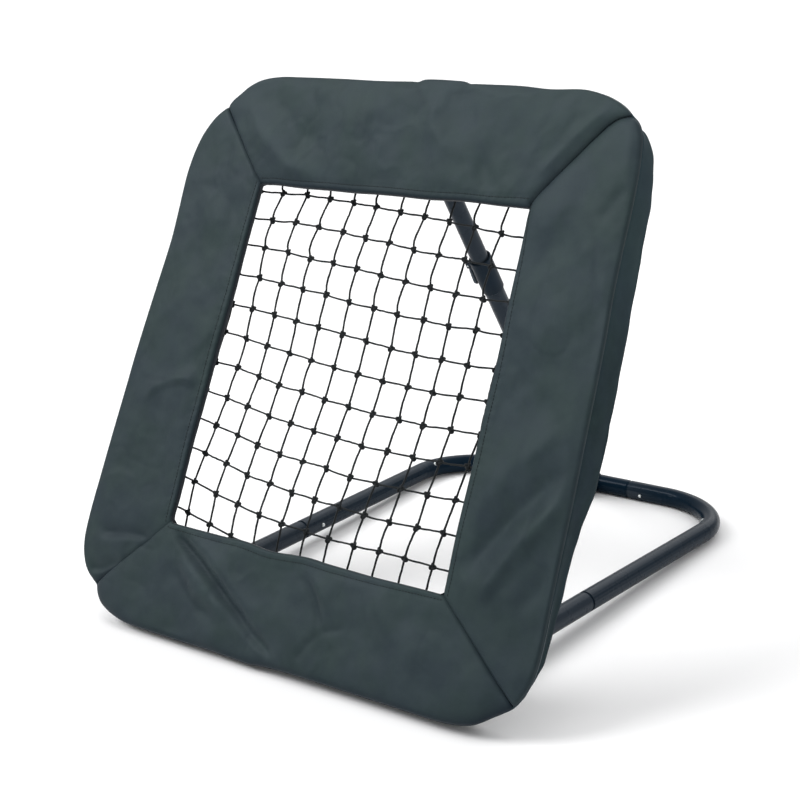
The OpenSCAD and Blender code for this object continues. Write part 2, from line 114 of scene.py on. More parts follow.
# ---------------------------------------------------------------- helpers
def smooth(a, b, x):
    t = np.clip((np.asarray(x, float) - a) / (b - a), 0, 1)
    return t * t * (3 - 2 * t)
def bump1(x, c, w):
    return np.exp(-((np.asarray(x, float) - c) / w) ** 2)
def table1(pts):
    xs, ys = zip(*pts)
    return lambda q: np.interp(q, xs, ys)
_perm = np.random.default_rng(11).permutation(256)
_grad = np.random.default_rng(12).uniform(-1, 1, 256)
def _lat(i, j):
    return _grad[_perm[(_perm[i % 256] + j) % 256]]
def noise2(x, y):
    """smooth value noise, about -1..1"""
    x, y = np.asarray(x, float), np.asarray(y, float)
    i, j = np.floor(x).astype(int), np.floor(y).astype(int)
    u, v = x - i, y - j
    u, v = u * u * u * (u * (u * 6 - 15) + 10), v * v * v * (v * (v * 6 - 15) + 10)
    return (_lat(i, j) * (1 - u) + _lat(i + 1, j) * u) * (1 - v) + (_lat(i, j + 1) * (1 - u) + _lat(i + 1, j + 1) * u) * v

def paint_attr(o, name, vals):
    """one number per vertex, read by the materials"""
    a = o.data.attributes.new(name, "FLOAT", "POINT")
    a.data.foreach_set("value", np.ascontiguousarray(np.asarray(vals, np.float32).ravel()))

def mesh_object(name, verts, faces, mats, face_mat=None, smooth_shade=True, uv=None):
    me = bpy.data.meshes.new(name)
    me.from_pydata([tuple(v) for v in verts], [], [tuple(int(i) for i in f) for f in faces])
    for m in mats:
        me.materials.append(m)
    if face_mat is not None:
        me.polygons.foreach_set("material_index", np.asarray(face_mat, np.int32))
    if uv is not None:
        layer = me.uv_layers.new(name="UVMap")
        idx = np.empty(len(me.loops), np.int32)
        me.loops.foreach_get("vertex_index", idx)
        layer.data.foreach_set("uv", np.asarray(uv, np.float32)[idx].ravel())
    if smooth_shade:
        me.polygons.foreach_set("use_smooth", np.ones(len(me.polygons), bool))
    me.validate()
    me.update()
    o = bpy.data.objects.new(name, me)
    sc.collection.objects.link(o)
    return o

def recalc(o):
    import bmesh
    bm = bmesh.new()
    bm.from_mesh(o.data)
    bmesh.ops.recalc_face_normals(bm, faces=bm.faces)
    bm.to_mesh(o.data)
    bm.free()

# ---------------------------------------------------------------- materials
class Mat:
    """short-hand for building a node material"""
    def __init__(s, name, base=(0.5, 0.5, 0.5), rough=0.5, **kw):
        s.m = bpy.data.materials.new(name)
        s.m.use_nodes = True
        s.t = s.m.node_tree
        s.b = s.t.nodes["Principled BSDF"]
        s.b.inputs["Base Color"].default_value = (*base, 1)
        s.b.inputs["Roughness"].default_value = rough
        for k, v in kw.items():
            s.b.inputs[k.replace("_", " ")].default_value = v
        s.m.diffuse_color = (*base, 1)
    def n(s, kind, **kw):
        nd = s.t.nodes.new("ShaderNode" + kind)
        for k, v in kw.items():
            if k in nd.inputs:
                nd.inputs[k].default_value = v
            else:
                setattr(nd, k, v)
        return nd
    def link(s, a, b):
        s.t.links.new(a, b)
    def coord(s, scale=(1, 1, 1), kind="Object", rot=(0, 0, 0)):
        tc = s.n("TexCoord")
        mp = s.n("Mapping")
        mp.inputs["Scale"].default_value = scale
        mp.inputs["Rotation"].default_value = rot
        s.link(tc.outputs[kind], mp.inputs["Vector"])
        return mp.outputs["Vector"]
    def noise(s, vec, scale, detail=3, rough=0.55):
        nd = s.n("TexNoise", Scale=scale, Detail=detail, Roughness=rough)
        s.link(vec, nd.inputs["Vector"])
        return nd.outputs["Fac"]
    def ramp(s, fac, stops):
        nd = s.n("ValToRGB")
        cr = nd.color_ramp
        while len(cr.elements) < len(stops):
            cr.elements.new(0.5)
        for e, (p, c) in zip(cr.elements, stops):
            e.position = p
            e.color = (*c, 1) if len(c) == 3 else c
        s.link(fac, nd.inputs["Fac"])
        return nd.outputs["Color"]
    def ramp_fac(s, fac, lo, hi):
        nd = s.n("MapRange")
        nd.inputs["From Min"].default_value = lo
        nd.inputs["From Max"].default_value = hi
        s.link(fac, nd.inputs["Value"])
        return nd.outputs[0]
    def mix(s, fac, a, b, mode="MIX"):
        nd = s.n("Mix", data_type="RGBA", blend_type=mode)
        for sock, val in ((nd.inputs[0], fac), (nd.inputs[6], a), (nd.inputs[7], b)):
            if hasattr(val, "links"):
                s.link(val, sock)
            elif isinstance(val, tuple):
                sock.default_value = (*val, 1)
            else:
                sock.default_value = val
        return nd.outputs[2]
    def math(s, op, a, b=0.0):
        nd = s.n("Math", operation=op)
        for sock, val in ((nd.inputs[0], a), (nd.inputs[1], b)):
            if hasattr(val, "links"):
                s.link(val, sock)
            else:
                sock.default_value = val
        return nd.outputs[0]
    def bumps(s, *layers):
        """layers of (height, strength, distance in metres)"""
        last = None
        for h, k, dist in layers:
            nd = s.n("Bump", Strength=k, Distance=dist)
            s.link(h, nd.inputs["Height"])
            if last is not None:
                s.link(last, nd.inputs["Normal"])
            last = nd.outputs["Normal"]
        s.link(last, s.b.inputs["Normal"])
    def set(s, name, out):
        s.link(out, s.b.inputs[name])

def weave(mt, vec, pitch):
    """a plain weave: two crossed sets of threads, over and under, one thread every pitch metres"""
    k = math.pi / pitch
    sx = mt.n("SeparateXYZ")
    mt.link(vec, sx.inputs[0])
    a = mt.math("SINE", mt.math("MULTIPLY", sx.outputs[0], k))
    b = mt.math("SINE", mt.math("MULTIPLY", sx.outputs[1], k))
    warp = mt.math("ABSOLUTE", a)
    weft = mt.math("ABSOLUTE", b)
    over = mt.math("MULTIPLY", a, b)
    return mt.math("ADD", mt.math("MULTIPLY", mt.math("MULTIPLY", warp, weft), 0.6), mt.math("MULTIPLY", over, 0.4))

def fabric(name, base, light, sheen=0.085, rough=0.52, spec=0.15):
    mt = Mat(name, base, rough, Specular_IOR_Level=spec, Sheen_Weight=sheen, Sheen_Roughness=0.35)
    mt.b.inputs["Specular Tint"].default_value = (0.80, 0.95, 1.0, 1)
    mt.b.inputs["Sheen Tint"].default_value = (0.72, 0.84, 1.0, 1)
    uvv = mt.coord(kind="UV")
    obj = mt.coord()
    big = mt.noise(obj, 7.0, 2, 0.5)
    mid = mt.noise(obj, 34.0, 4, 0.62)
    fine = mt.noise(obj, 900.0, 2, 0.6)
    c = mt.ramp(big, [(0.34, base), (0.50, tuple(0.5 * (p + q) for p, q in zip(base, light))), (0.66, light)])
    # the dye drifts between a greener and a bluer slate
    hue = mt.noise(mt.coord(scale=(1, 1, 0.6)), 15.0, 4, 0.62)
    c = mt.mix(mt.ramp_fac(hue, 0.40, 0.60), mt.mix(0.6, c, tuple(q * k for q, k in zip(light, (0.90, 1.02, 0.86)))), mt.mix(0.6, c, tuple(q * k for q, k in zip(light, (0.99, 0.92, 1.14)))))
    c = mt.mix(0.44, c, mt.ramp(mid, [(0.36, tuple(0.74 * q for q in base)), (0.64, tuple(1.06 * q for q in light))]))
    # painted shade on the edges and in the creases, and painted highlights on the ridges, from the mesh attribute
    painted_light_fac = mt.n("Attribute", attribute_name="painted_light_and_tone").outputs["Fac"]
    # painted shade: darkened towards a deep slate where the attribute is above nought
    c = mt.mix(mt.math("MULTIPLY", mt.math("MAXIMUM", painted_light_fac, 0.0), 0.80), c, (0.20 * base[0], 0.27 * base[1], 0.40 * base[2]))
    # painted highlight: paler where the attribute is below nought
    c = mt.mix(mt.math("MULTIPLY", mt.math("MAXIMUM", mt.math("MULTIPLY", painted_light_fac, -1.0), 0.0), 0.60), c, tuple(1.9 * q for q in light))
    w = weave(mt, uvv, 0.00085)
    # painted highlight: the raised crowns of the weave made paler
    c = mt.mix(mt.math("MULTIPLY", w, 0.10), c, tuple(1.5 * q for q in light))
    mt.set("Base Color", c)
    mt.set("Roughness", mt.math("ADD", mt.math("MULTIPLY", mid, 0.16), rough - 0.08))
    mt.bumps((w, 0.30, 0.00012), (fine, 0.12, 0.0001), (mid, 0.10, 0.0012))
    return mt.m

M_FAB = fabric("cover_fabric_slate", (0.0178, 0.0285, 0.0338), (0.0235, 0.0352, 0.0372))
M_BAND = fabric("cover_fabric_band", (0.0153, 0.0255, 0.0304), (0.0208, 0.0332, 0.0378), sheen=0.010, rough=0.78, spec=0.05)
M_BACK = fabric("cover_lining_cloth", (0.0170, 0.0225, 0.0260), (0.0220, 0.0285, 0.0325), sheen=0.06, rough=0.72)

def tape(name, base):
    mt = Mat(name, base, 0.78, Specular_IOR_Level=0.25, Sheen_Weight=0.12)
    uvv = mt.coord(kind="UV")
    sx = mt.n("SeparateXYZ")
    mt.link(uvv, sx.inputs[0])
    rib = mt.math("ABSOLUTE", mt.math("SINE", mt.math("MULTIPLY", sx.outputs[0], math.pi / 0.0012)))
    n = mt.noise(mt.coord(), 120, 3)
    # painted highlight: the crests of the ribs made paler
    mt.set("Base Color", mt.mix(mt.math("MULTIPLY", rib, 0.25), mt.ramp(n, [(0.3, tuple(0.8 * q for q in base)), (0.7, base)]), tuple(1.6 * q for q in base)))
    mt.bumps((rib, 0.5, 0.0002), (n, 0.1, 0.0006))
    return mt.m
M_TAPE = tape("binding_tape", (0.0052, 0.0094, 0.0150))

def thread(name, base, pitch, rough=0.7):
    mt = Mat(name, base, rough, Specular_IOR_Level=0.16, Sheen_Weight=0.04)
    uvv = mt.coord(kind="UV")
    sx = mt.n("SeparateXYZ")
    mt.link(uvv, sx.inputs[0])
    lay = mt.math("ABSOLUTE", mt.math("SINE", mt.math("ADD", mt.math("MULTIPLY", sx.outputs[0], math.pi / pitch), mt.math("MULTIPLY", sx.outputs[1], 2 * math.pi))))
    n = mt.noise(mt.coord(), 700, 3, 0.7)
    # painted shade: the grooves between the plies made darker
    c = mt.ramp(lay, [(0.0, tuple(0.45 * q for q in base)), (0.6, base)])
    mt.set("Base Color", mt.mix(0.35, c, mt.ramp(n, [(0.3, tuple(0.7 * q for q in base)), (0.7, tuple(1.7 * q for q in base))])))
    mt.bumps((lay, 0.6, 0.0004), (n, 0.3, 0.0002))
    return mt.m
M_TWINE = thread("net_twine_black", (0.0085, 0.0108, 0.0122), 0.0016)
M_CORD = thread("net_border_rope", (0.0080, 0.0100, 0.0112), 0.0042)
M_STITCH = thread("seam_thread", (0.0120, 0.0175, 0.0200), 0.0008)

def elastic():
    base = (0.011, 0.0125, 0.0135)
    mt = Mat("elastic_loop", base, 0.82, Specular_IOR_Level=0.25, Sheen_Weight=0.15)
    v = mt.coord(scale=(1, 1, 1))
    w = mt.n("TexWave", Scale=420.0, Distortion=1.2, Detail=2.0)
    w.bands_direction = "DIAGONAL"
    mt.link(v, w.inputs["Vector"])
    n = mt.noise(v, 900, 3)
    # painted highlight: the crests of the knit's wave made paler
    mt.set("Base Color", mt.mix(mt.math("MULTIPLY", w.outputs["Fac"], 0.5), mt.ramp(n, [(0.3, tuple(0.7 * q for q in base)), (0.7, base)]), (0.03, 0.034, 0.037)))
    mt.bumps((w.outputs["Fac"], 0.6, 0.0003), (n, 0.2, 0.0002))
    return mt.m

def paint(name="tube_paint_black", base=(0.0034, 0.0112, 0.0210), rough=0.28):
    """powder coat: fine orange peel, faint handling marks, a painted highlight on the raised edges"""
    mt = Mat(name, base, rough, Specular_IOR_Level=0.05, Coat_Weight=0.06, Coat_Roughness=0.07)
    mt.b.inputs["Specular Tint"].default_value = (0.55, 0.74, 1.0, 1)
    v = mt.coord()
    peel = mt.noise(v, 420, 2, 0.5)
    dust = mt.noise(v, 26, 5, 0.65)
    scr = mt.n("TexNoise", Scale=60.0, Detail=6.0, Roughness=0.75, Distortion=1.5)
    mt.link(mt.coord(scale=(1, 6, 1)), scr.inputs["Vector"])
    c = mt.ramp(dust, [(0.25, tuple(0.86 * q for q in base)), (0.60, base), (0.85, tuple(1.18 * q for q in base))])
    marks = mt.ramp(scr.outputs["Fac"], [(0.66, (0, 0, 0)), (0.74, (1, 1, 1))])
    bw = mt.n("RGBToBW")
    mt.link(marks, bw.inputs[0])
    c = mt.mix(mt.math("MULTIPLY", bw.outputs[0], 0.30), c, (0.030, 0.037, 0.047))
    geo = mt.n("NewGeometry")
    edge = mt.ramp(geo.outputs["Pointiness"], [(0.52, (0, 0, 0)), (0.60, (1, 1, 1))])
    edge_highlight_bw = mt.n("RGBToBW")
    mt.link(edge, edge_highlight_bw.inputs[0])
    # painted highlight: the sharp, raised edges made paler
    c = mt.mix(mt.math("MULTIPLY", edge_highlight_bw.outputs[0], 0.35), c, (0.070, 0.080, 0.092))
    mt.set("Base Color", c)
    mt.set("Roughness", mt.math("ADD", mt.math("MULTIPLY", dust, 0.18), rough - 0.09))
    mt.bumps((peel, 0.22, 0.00025), (dust, 0.05, 0.0008))
    return mt.m

def metal(name, base, rough, brushed=False):
    mt = Mat(name, base, rough, Metallic=1.0)
    v = mt.coord(scale=(1, 1, 7) if brushed else (1, 1, 1))
    n = mt.noise(v, 260, 5, 0.7)
    big = mt.noise(mt.coord(), 60, 3)
    mt.set("Base Color", mt.mix(0.5, mt.ramp(big, [(0.3, tuple(0.78 * q for q in base)), (0.7, base)]), mt.ramp(n, [(0.3, tuple(0.82 * q for q in base)), (0.75, tuple(min(1, 1.08 * q) for q in base))])))
    mt.set("Roughness", mt.math("ADD", mt.math("MULTIPLY", n, 0.22), rough - 0.1))
    mt.bumps((n, 0.18, 0.00012))
    return mt.m

def plastic(name, base=(0.0036, 0.0114, 0.0212), rough=0.42):
    mt = Mat(name, base, rough, Specular_IOR_Level=0.07)
    mt.b.inputs["Specular Tint"].default_value = (0.62, 0.80, 1.0, 1)
    v = mt.coord()
    grain = mt.n("TexVoronoi", Scale=1500.0)
    mt.link(v, grain.inputs["Vector"])
    n = mt.noise(v, 45, 4, 0.6)
    c = mt.ramp(n, [(0.3, tuple(0.85 * q for q in base)), (0.7, tuple(1.15 * q for q in base))])
    geo = mt.n("NewGeometry")
    edge = mt.ramp(geo.outputs["Pointiness"], [(0.52, (0, 0, 0)), (0.60, (1, 1, 1))])
    edge_highlight_bw = mt.n("RGBToBW")
    mt.link(edge, edge_highlight_bw.inputs[0])
    # painted highlight: the sharp, raised edges made paler
    c = mt.mix(mt.math("MULTIPLY", edge_highlight_bw.outputs[0], 0.3), c, (0.05, 0.056, 0.064))
    mt.set("Base Color", c)
    mt.set("Roughness", mt.math("ADD", mt.math("MULTIPLY", n, 0.2), rough - 0.1))
    mt.bumps((grain.outputs["Distance"], 0.12, 0.0002), (n, 0.04, 0.001))
    return mt.m

M_PAINT = paint()
M_ZINC = metal("zinc_plated", (0.72, 0.76, 0.76), 0.30)
M_STEEL = metal("spring_steel", (0.42, 0.43, 0.44), 0.34, True)
M_PLAS = plastic("black_plastic_moulded")
M_ELAS = elastic()
BY_SLOT = {"tube_paint": M_PAINT, "zinc": M_ZINC, "black_plastic": M_PLAS, "spring_steel": M_STEEL, "elastic": M_ELAS}
SLOT_OF = {}
for mrow in frame["record"].get("materials", []):
    for nd in mrow.get("nodes", mrow.get("applies_to", [])) or []:
        SLOT_OF[nd] = mrow.get("slot")
GROUPS = {
    "tube_paint": ["frame_upper", "frame_lower", "prop_bracket_top", "base_rear_left", "base_rear_right", "base_front_left", "base_front_right",
                   "pivot_bracket_left", "pivot_bracket_right", "prop_bracket_foot", "prop_lower", "prop_upper"],
    "zinc": ["frame_screws", "top_pivot_bolt", "top_pivot_nut", "leg_bolts", "leg_nuts", "foot_pivot_bolt", "foot_pivot_nut", "bend_rivets",
             "button_left", "button_right", "button_rear", "lever_pin"],
    "spring_steel": ["button_springs"],
    "black_plastic": ["leg_end_caps", "prop_foot_plug", "clamp_collar", "clamp_shoe", "cam_lever", "prop_top_cap", "prop_guide_bush"],
    "elastic": ["net_tie_loops"],
}
for g, names in GROUPS.items():
    for nm in names:
        o = NODES[nm]
        if not o.material_slots:
            o.data.materials.append(BY_SLOT[g])
        for sl in o.material_slots:
            sl.material = BY_SLOT[g]

# ---------------------------------------------------------------- cover outline
# front edge of the cover, clockwise from the top left mitre, in mm
TOP = [(-323, 751), (-315, 762), (-304, 772), (-291, 784), (-270, 795), (-238, 801), (-200, 802), (-130, 802.5), (-60, 802), (-8, 803.2), (4.5, 803.3), (12, 806.6), (30, 807.7),
       (60, 807.4), (78, 806.4), (85.5, 803.7), (96, 803.9), (165, 804), (205, 801.5), (218, 801.5), (250, 803), (267, 802), (293, 796), (309, 789.5), (319, 784), (327, 778)]
RIGHT = [(334, 771.5), (343, 764), (350.5, 751), (355, 735), (358.6, 706), (360.5, 674), (361, 640), (361, 595), (362, 538), (364.5, 490), (366.5, 430), (367.5, 377), (369.5, 291),
         (370, 221), (370.5, 172), (371.5, 125), (371, 97), (368.4, 77), (362.3, 58.8)]
BOTTOM = [(352.4, 41.8), (339.6, 31.6), (327, 23.2), (316, 15.5), (304, 8.5), (291, 4.5), (277, 2.2), (258, 0.6), (238, 0.2), (206, 0.4), (161, 0.6), (81, 0.6), (20, 0.2), (-17, -1.4), (-34, -3.6), (-60, -3.2),
          (-110, -2.2), (-172, -2.6), (-230, -2.2), (-262, -1.0), (-284, 3.0), (-300, 8.2), (-313, 15), (-322, 24), (-326.5, 31)]
LEFT = [(-330.5, 37), (-340, 42.5), (-350, 50), (-359.5, 61), (-368.5, 78), (-373.5, 98), (-375.5, 136), (-375, 178), (-374, 255), (-372.5, 320), (-371.5, 372), (-366.5, 469), (-362.5, 540),
        (-364, 590), (-366, 632), (-365.5, 655), (-362, 682), (-354.5, 708), (-340.5, 733)]
CTRL = np.array(TOP + RIGHT + BOTTOM + LEFT, float)
MITRE = np.cumsum([0, len(TOP), len(RIGHT), len(BOTTOM)])

def spline(ctrl, per=24):
    """closed Catmull-Rom curve through the points, centripetal-like by uniform steps"""
    n = len(ctrl)
    out = []
    for i in range(n):
        p0, p1, p2, p3 = ctrl[i - 1], ctrl[i], ctrl[(i + 1) % n], ctrl[(i + 2) % n]
        l = np.linalg.norm(p2 - p1)
        m1 = (p2 - p0) / (np.linalg.norm(p2 - p1) + np.linalg.norm(p1 - p0)) * l
        m2 = (p3 - p1) / (np.linalg.norm(p3 - p2) + np.linalg.norm(p2 - p1)) * l
        t = np.arange(per)[:, None] / per
        out.append((2 * t**3 - 3 * t**2 + 1) * p1 + (t**3 - 2 * t**2 + t) * m1 + (-2 * t**3 + 3 * t**2) * p2 + (t**3 - t**2) * m2)
    return np.concatenate(out)
PER = 24
CURVE = spline(CTRL, PER)
_seg = np.linalg.norm(np.roll(CURVE, -1, 0) - CURVE, axis=1)
ARC = np.concatenate([[0], np.cumsum(_seg)])
TOTAL = ARC[-1]
ARC_M = ARC[MITRE * PER]
def on_outline(s):
    s = np.mod(s, TOTAL)
    c = np.concatenate([CURVE, CURVE[:1]])
    return np.stack([np.interp(s, ARC, c[:, 0]), np.interp(s, ARC, c[:, 1])], -1)
def out_normal(s, h=6.0):
    a, b = on_outline(s - h), on_outline(s + h)
    t = (b - a) / np.linalg.norm(b - a, axis=-1, keepdims=True)
    return np.stack([-t[..., 1], t[..., 0]], -1)   # clockwise run, so the left hand side is outside

# opening
OB, OT = 145.5, 638.5
HOLE = np.array([(-223.5, OT + 0.5), (221.5, OT + 2.0), (226.5, OB), (-226.0, OB)])
def hole_point(k, f):
    """point at fraction f along side k of the opening (top, right, bottom, left), with soft corners and a slightly wavy bottom edge"""
    a, b = HOLE[k], HOLE[(k + 1) % 4]
    f = np.asarray(f, float)
    L = np.linalg.norm(b - a)
    p = a + (b - a) * f[..., None]
    inw = np.array([(0, -1), (-1, 0), (0, 1), (1, 0)][k], float)
    r0, r1 = [(3.2, 3.4), (3.4, 4), (4, 11), (11, 3.2)][k]
    for r, dist in ((r0, f * L), (r1, (1 - f) * L)):
        q = np.clip(1 - dist / r, 0, 1)
        p = p + inw * (r - np.sqrt(r * r - (r * q) ** 2))[..., None] * 0.75
    if k == 2:
        x = p[..., 0]
        w = 1.6 * bump1(x, 16, 22) - 2.4 * bump1(x, -46, 26) + 1.2 * bump1(x, -96, 24) - 0.9 * bump1(x, 120, 40)
        p = p + inw * w[..., None]
    elif k == 0:
        x = p[..., 0]
        w = 0.5 * np.sin(x / 46) + 0.5 * np.sin(x / 17 + 1) + 1.6 * bump1(x, 150, 60) + 1.2 * bump1(x, -32, 30)
        p = p - inw * w[..., None] * smooth(0, 30, np.minimum(f, 1 - f) * L)[..., None]
    else:
        v = p[..., 1]
        p = p - inw * (0.8 * np.sin(v / 61 + k) + 0.4 * np.sin(v / 23 + k))[..., None] * smooth(0, 40, np.minimum(f, 1 - f) * L)[..., None]
    return p

# ---------------------------------------------------------------- relief of the front
def fold(x, v, pts, width, height, skew=0.0, ends=40.0):
    """a soft fold along a polyline: height above the face, skewed so that one flank is steeper"""
    x, v = np.asarray(x, float), np.asarray(v, float)
    best = np.full(x.shape, 1e9)
    side = np.zeros(x.shape)
    along = np.zeros(x.shape)
    run = 0.0
    P = np.array(pts, float)
    for a, b in zip(P[:-1], P[1:]):
        L = np.linalg.norm(b - a)
        t = (b - a) / L
        u = np.clip((x - a[0]) * t[0] + (v - a[1]) * t[1], 0, L)
        ex, ev = x - (a[0] + u * t[0]), v - (a[1] + u * t[1])
        d = np.hypot(ex, ev)
        sgn = np.sign(t[0] * ev - t[1] * ex)
        m = d < best
        best = np.where(m, d, best)
        side = np.where(m, sgn, side)
        along = np.where(m, run + u, along)
        run += L
    s = best * side
    w = width * (1 + skew * np.tanh(s / width))
    env = smooth(0, ends, along) * smooth(0, ends, run - along)
    return height * np.exp(-(s / w) ** 2) * env

def ridge(x, v, k):
    """thin random creases: the zero lines of a smooth noise, in patches"""
    n = noise2(x / 62 + 5.3 * k, v / 58 + 2.9 * k) + 0.35 * noise2(x / 23 + 1.7 * k, v / 26 + k)
    m = smooth(-0.15, 0.55, noise2(x / 84 + 11.1 * k, v / 80 + 4.1))
    return np.exp(-(n / 0.10) ** 2) * m

CREASE = [(-221, 145), (-181, 120), (-146, 101), (-118, 83), (-92, 67), (-65, 51), (-43, 36), (-16, 23), (12, 14)]
def relief(x, v):
    """height of the front face above its plane, in mm, away from the edges"""
    h = 1.2 * noise2(x / 95 + 3.1, v / 95 + 7.7) + 0.95 * noise2(x / 47 + 9.3, v / 52 + 1.7) + 0.42 * noise2(x / 21 + 2.2, v / 24 + 5.5) + 0.12 * noise2(x / 10.5, v / 11 + 3.3)
    h = h + 0.42 * ridge(x, v, 1.0) - 0.36 * ridge(x, v, 2.3)
    # top left: broad fold beside the mitre
    h = h + fold(x, v, [(-283, 772), (-262, 738), (-226, 700), (-176, 668), (-120, 655)], 21, 3.4, 0.35, 60)
    h = h - fold(x, v, [(-256, 786), (-222, 750), (-180, 718), (-120, 700)], 20, 1.6, 0.0, 50)
    h = h + fold(x, v, [(-60, 790), (-72, 745), (-62, 700), (-30, 662)], 22, 1.9, -0.3, 50)
    h = h + fold(x, v, [(40, 800), (52, 740), (92, 690)], 18, 1.6, 0.3, 40)
    h = h - fold(x, v, [(120, 720), (150, 668), (190, 648)], 14, 1.5, 0.0, 40)
    # top right: the top piece stands above the right one along the mitre
    h = h + fold(x, v, [(318, 776), (286, 742), (254, 704), (226, 668)], 9, 1.3, 0.0, 26)
    # right side, long soft diagonals
    h = h + fold(x, v, [(262, 128), (300, 196), (342, 262), (362, 300)], 15, 4.0, 0.4, 50)
    h = h - fold(x, v, [(246, 170), (282, 232), (322, 288), (356, 330)], 14, 3.0, -0.2, 50)
    h = h + fold(x, v, [(236, 232), (270, 292), (318, 352), (356, 396)], 20, 2.6, 0.2, 60)
    h = h - fold(x, v, [(320, 140), (350, 176), (366, 214)], 12, 1.7, 0.0, 30)
    h = h + fold(x, v, [(240, 430), (286, 492), (340, 540)], 24, 1.5, 0.0, 60)
    h = h - fold(x, v, [(232, 520), (262, 580), (300, 650)], 18, 1.6, 0.0, 60)
    # bottom: long crease from the opening's left corner, and a wrinkle beside it
    h = h - fold(x, v, CREASE, 6.5, 3.6, 0.0, 34)
    h = h + fold(x, v, [(q + 9, w + 15) for q, w in CREASE[:-2]], 11, 2.2, 0.0, 34)
    h = h + fold(x, v, [(-196, 108), (-160, 84), (-118, 60), (-84, 44)], 12, 1.9, 0.0, 30)
    h = h - fold(x, v, [(-199, 98), (-171, 69), (-138, 46), (-98, 42)], 9, 1.5, 0.0, 26)
    h = h - fold(x, v, [(8, 124), (28, 116), (46, 99), (60, 74), (67, 62)], 6, 1.8, 0.0, 26)
    h = h + fold(x, v, [(22, 128), (44, 118), (62, 99), (74, 76)], 9, 1.2, 0.0, 26)
    h = h - fold(x, v, [(60, 60), (81, 68), (104, 77)], 5, 1.1, 0.0, 16)
    h = h - fold(x, v, [(67, 62), (48, 42), (41, 26), (44, 14)], 5, 1.2, 0.0, 14)
    h = h + fold(x, v, [(120, 130), (168, 84), (236, 40)], 20, 2.2, 0.2, 50)
    # left lower: dents that run in from the outer edge towards the mitre
    h = h - fold(x, v, [(-346, 110), (-316, 114), (-284, 118), (-246, 122)], 8, 2.4, 0.0, 24)
    h = h + fold(x, v, [(-366, 92), (-326, 102), (-270, 116)], 13, 1.0, 0.3, 26)
    h = h - fold(x, v, [(-356, 52), (-322, 62), (-290, 84)], 7, 2.6, 0.5, 22)
    # left side: a crescent crease at mid height and a pull from the opening's edge
    h = h + fold(x, v, [(-330, 300), (-314, 322), (-292, 335), (-262, 344), (-230, 338)], 9, 1.9, 0.7, 26)
    h = h - fold(x, v, [(-318, 330), (-290, 352), (-250, 360)], 12, 1.1, 0.0, 26)
    h = h + fold(x, v, [(-272, 376), (-250, 398), (-228, 428)], 11, 1.2, 0.4, 22)
    h = h - fold(x, v, [(322, 626), (336, 652), (352, 684)], 8, 1.1, 0.0, 18)
    # left side, long and shallow
    h = h + fold(x, v, [(-238, 220), (-262, 330), (-318, 430)], 22, 1.9, 0.2, 60)
    h = h - fold(x, v, [(-234, 560), (-262, 600), (-320, 640)], 16, 1.8, 0.0, 50)
    h = h + fold(x, v, [(-350, 560), (-318, 480), (-300, 400)], 18, 1.5, 0.0, 60)
    # bottom right corner hangs and boxes out
    h = h + 2.0 * np.exp(-(((x - 300) / 42) ** 2 + ((v - 36) / 26) ** 2))
    return 1.75 * h

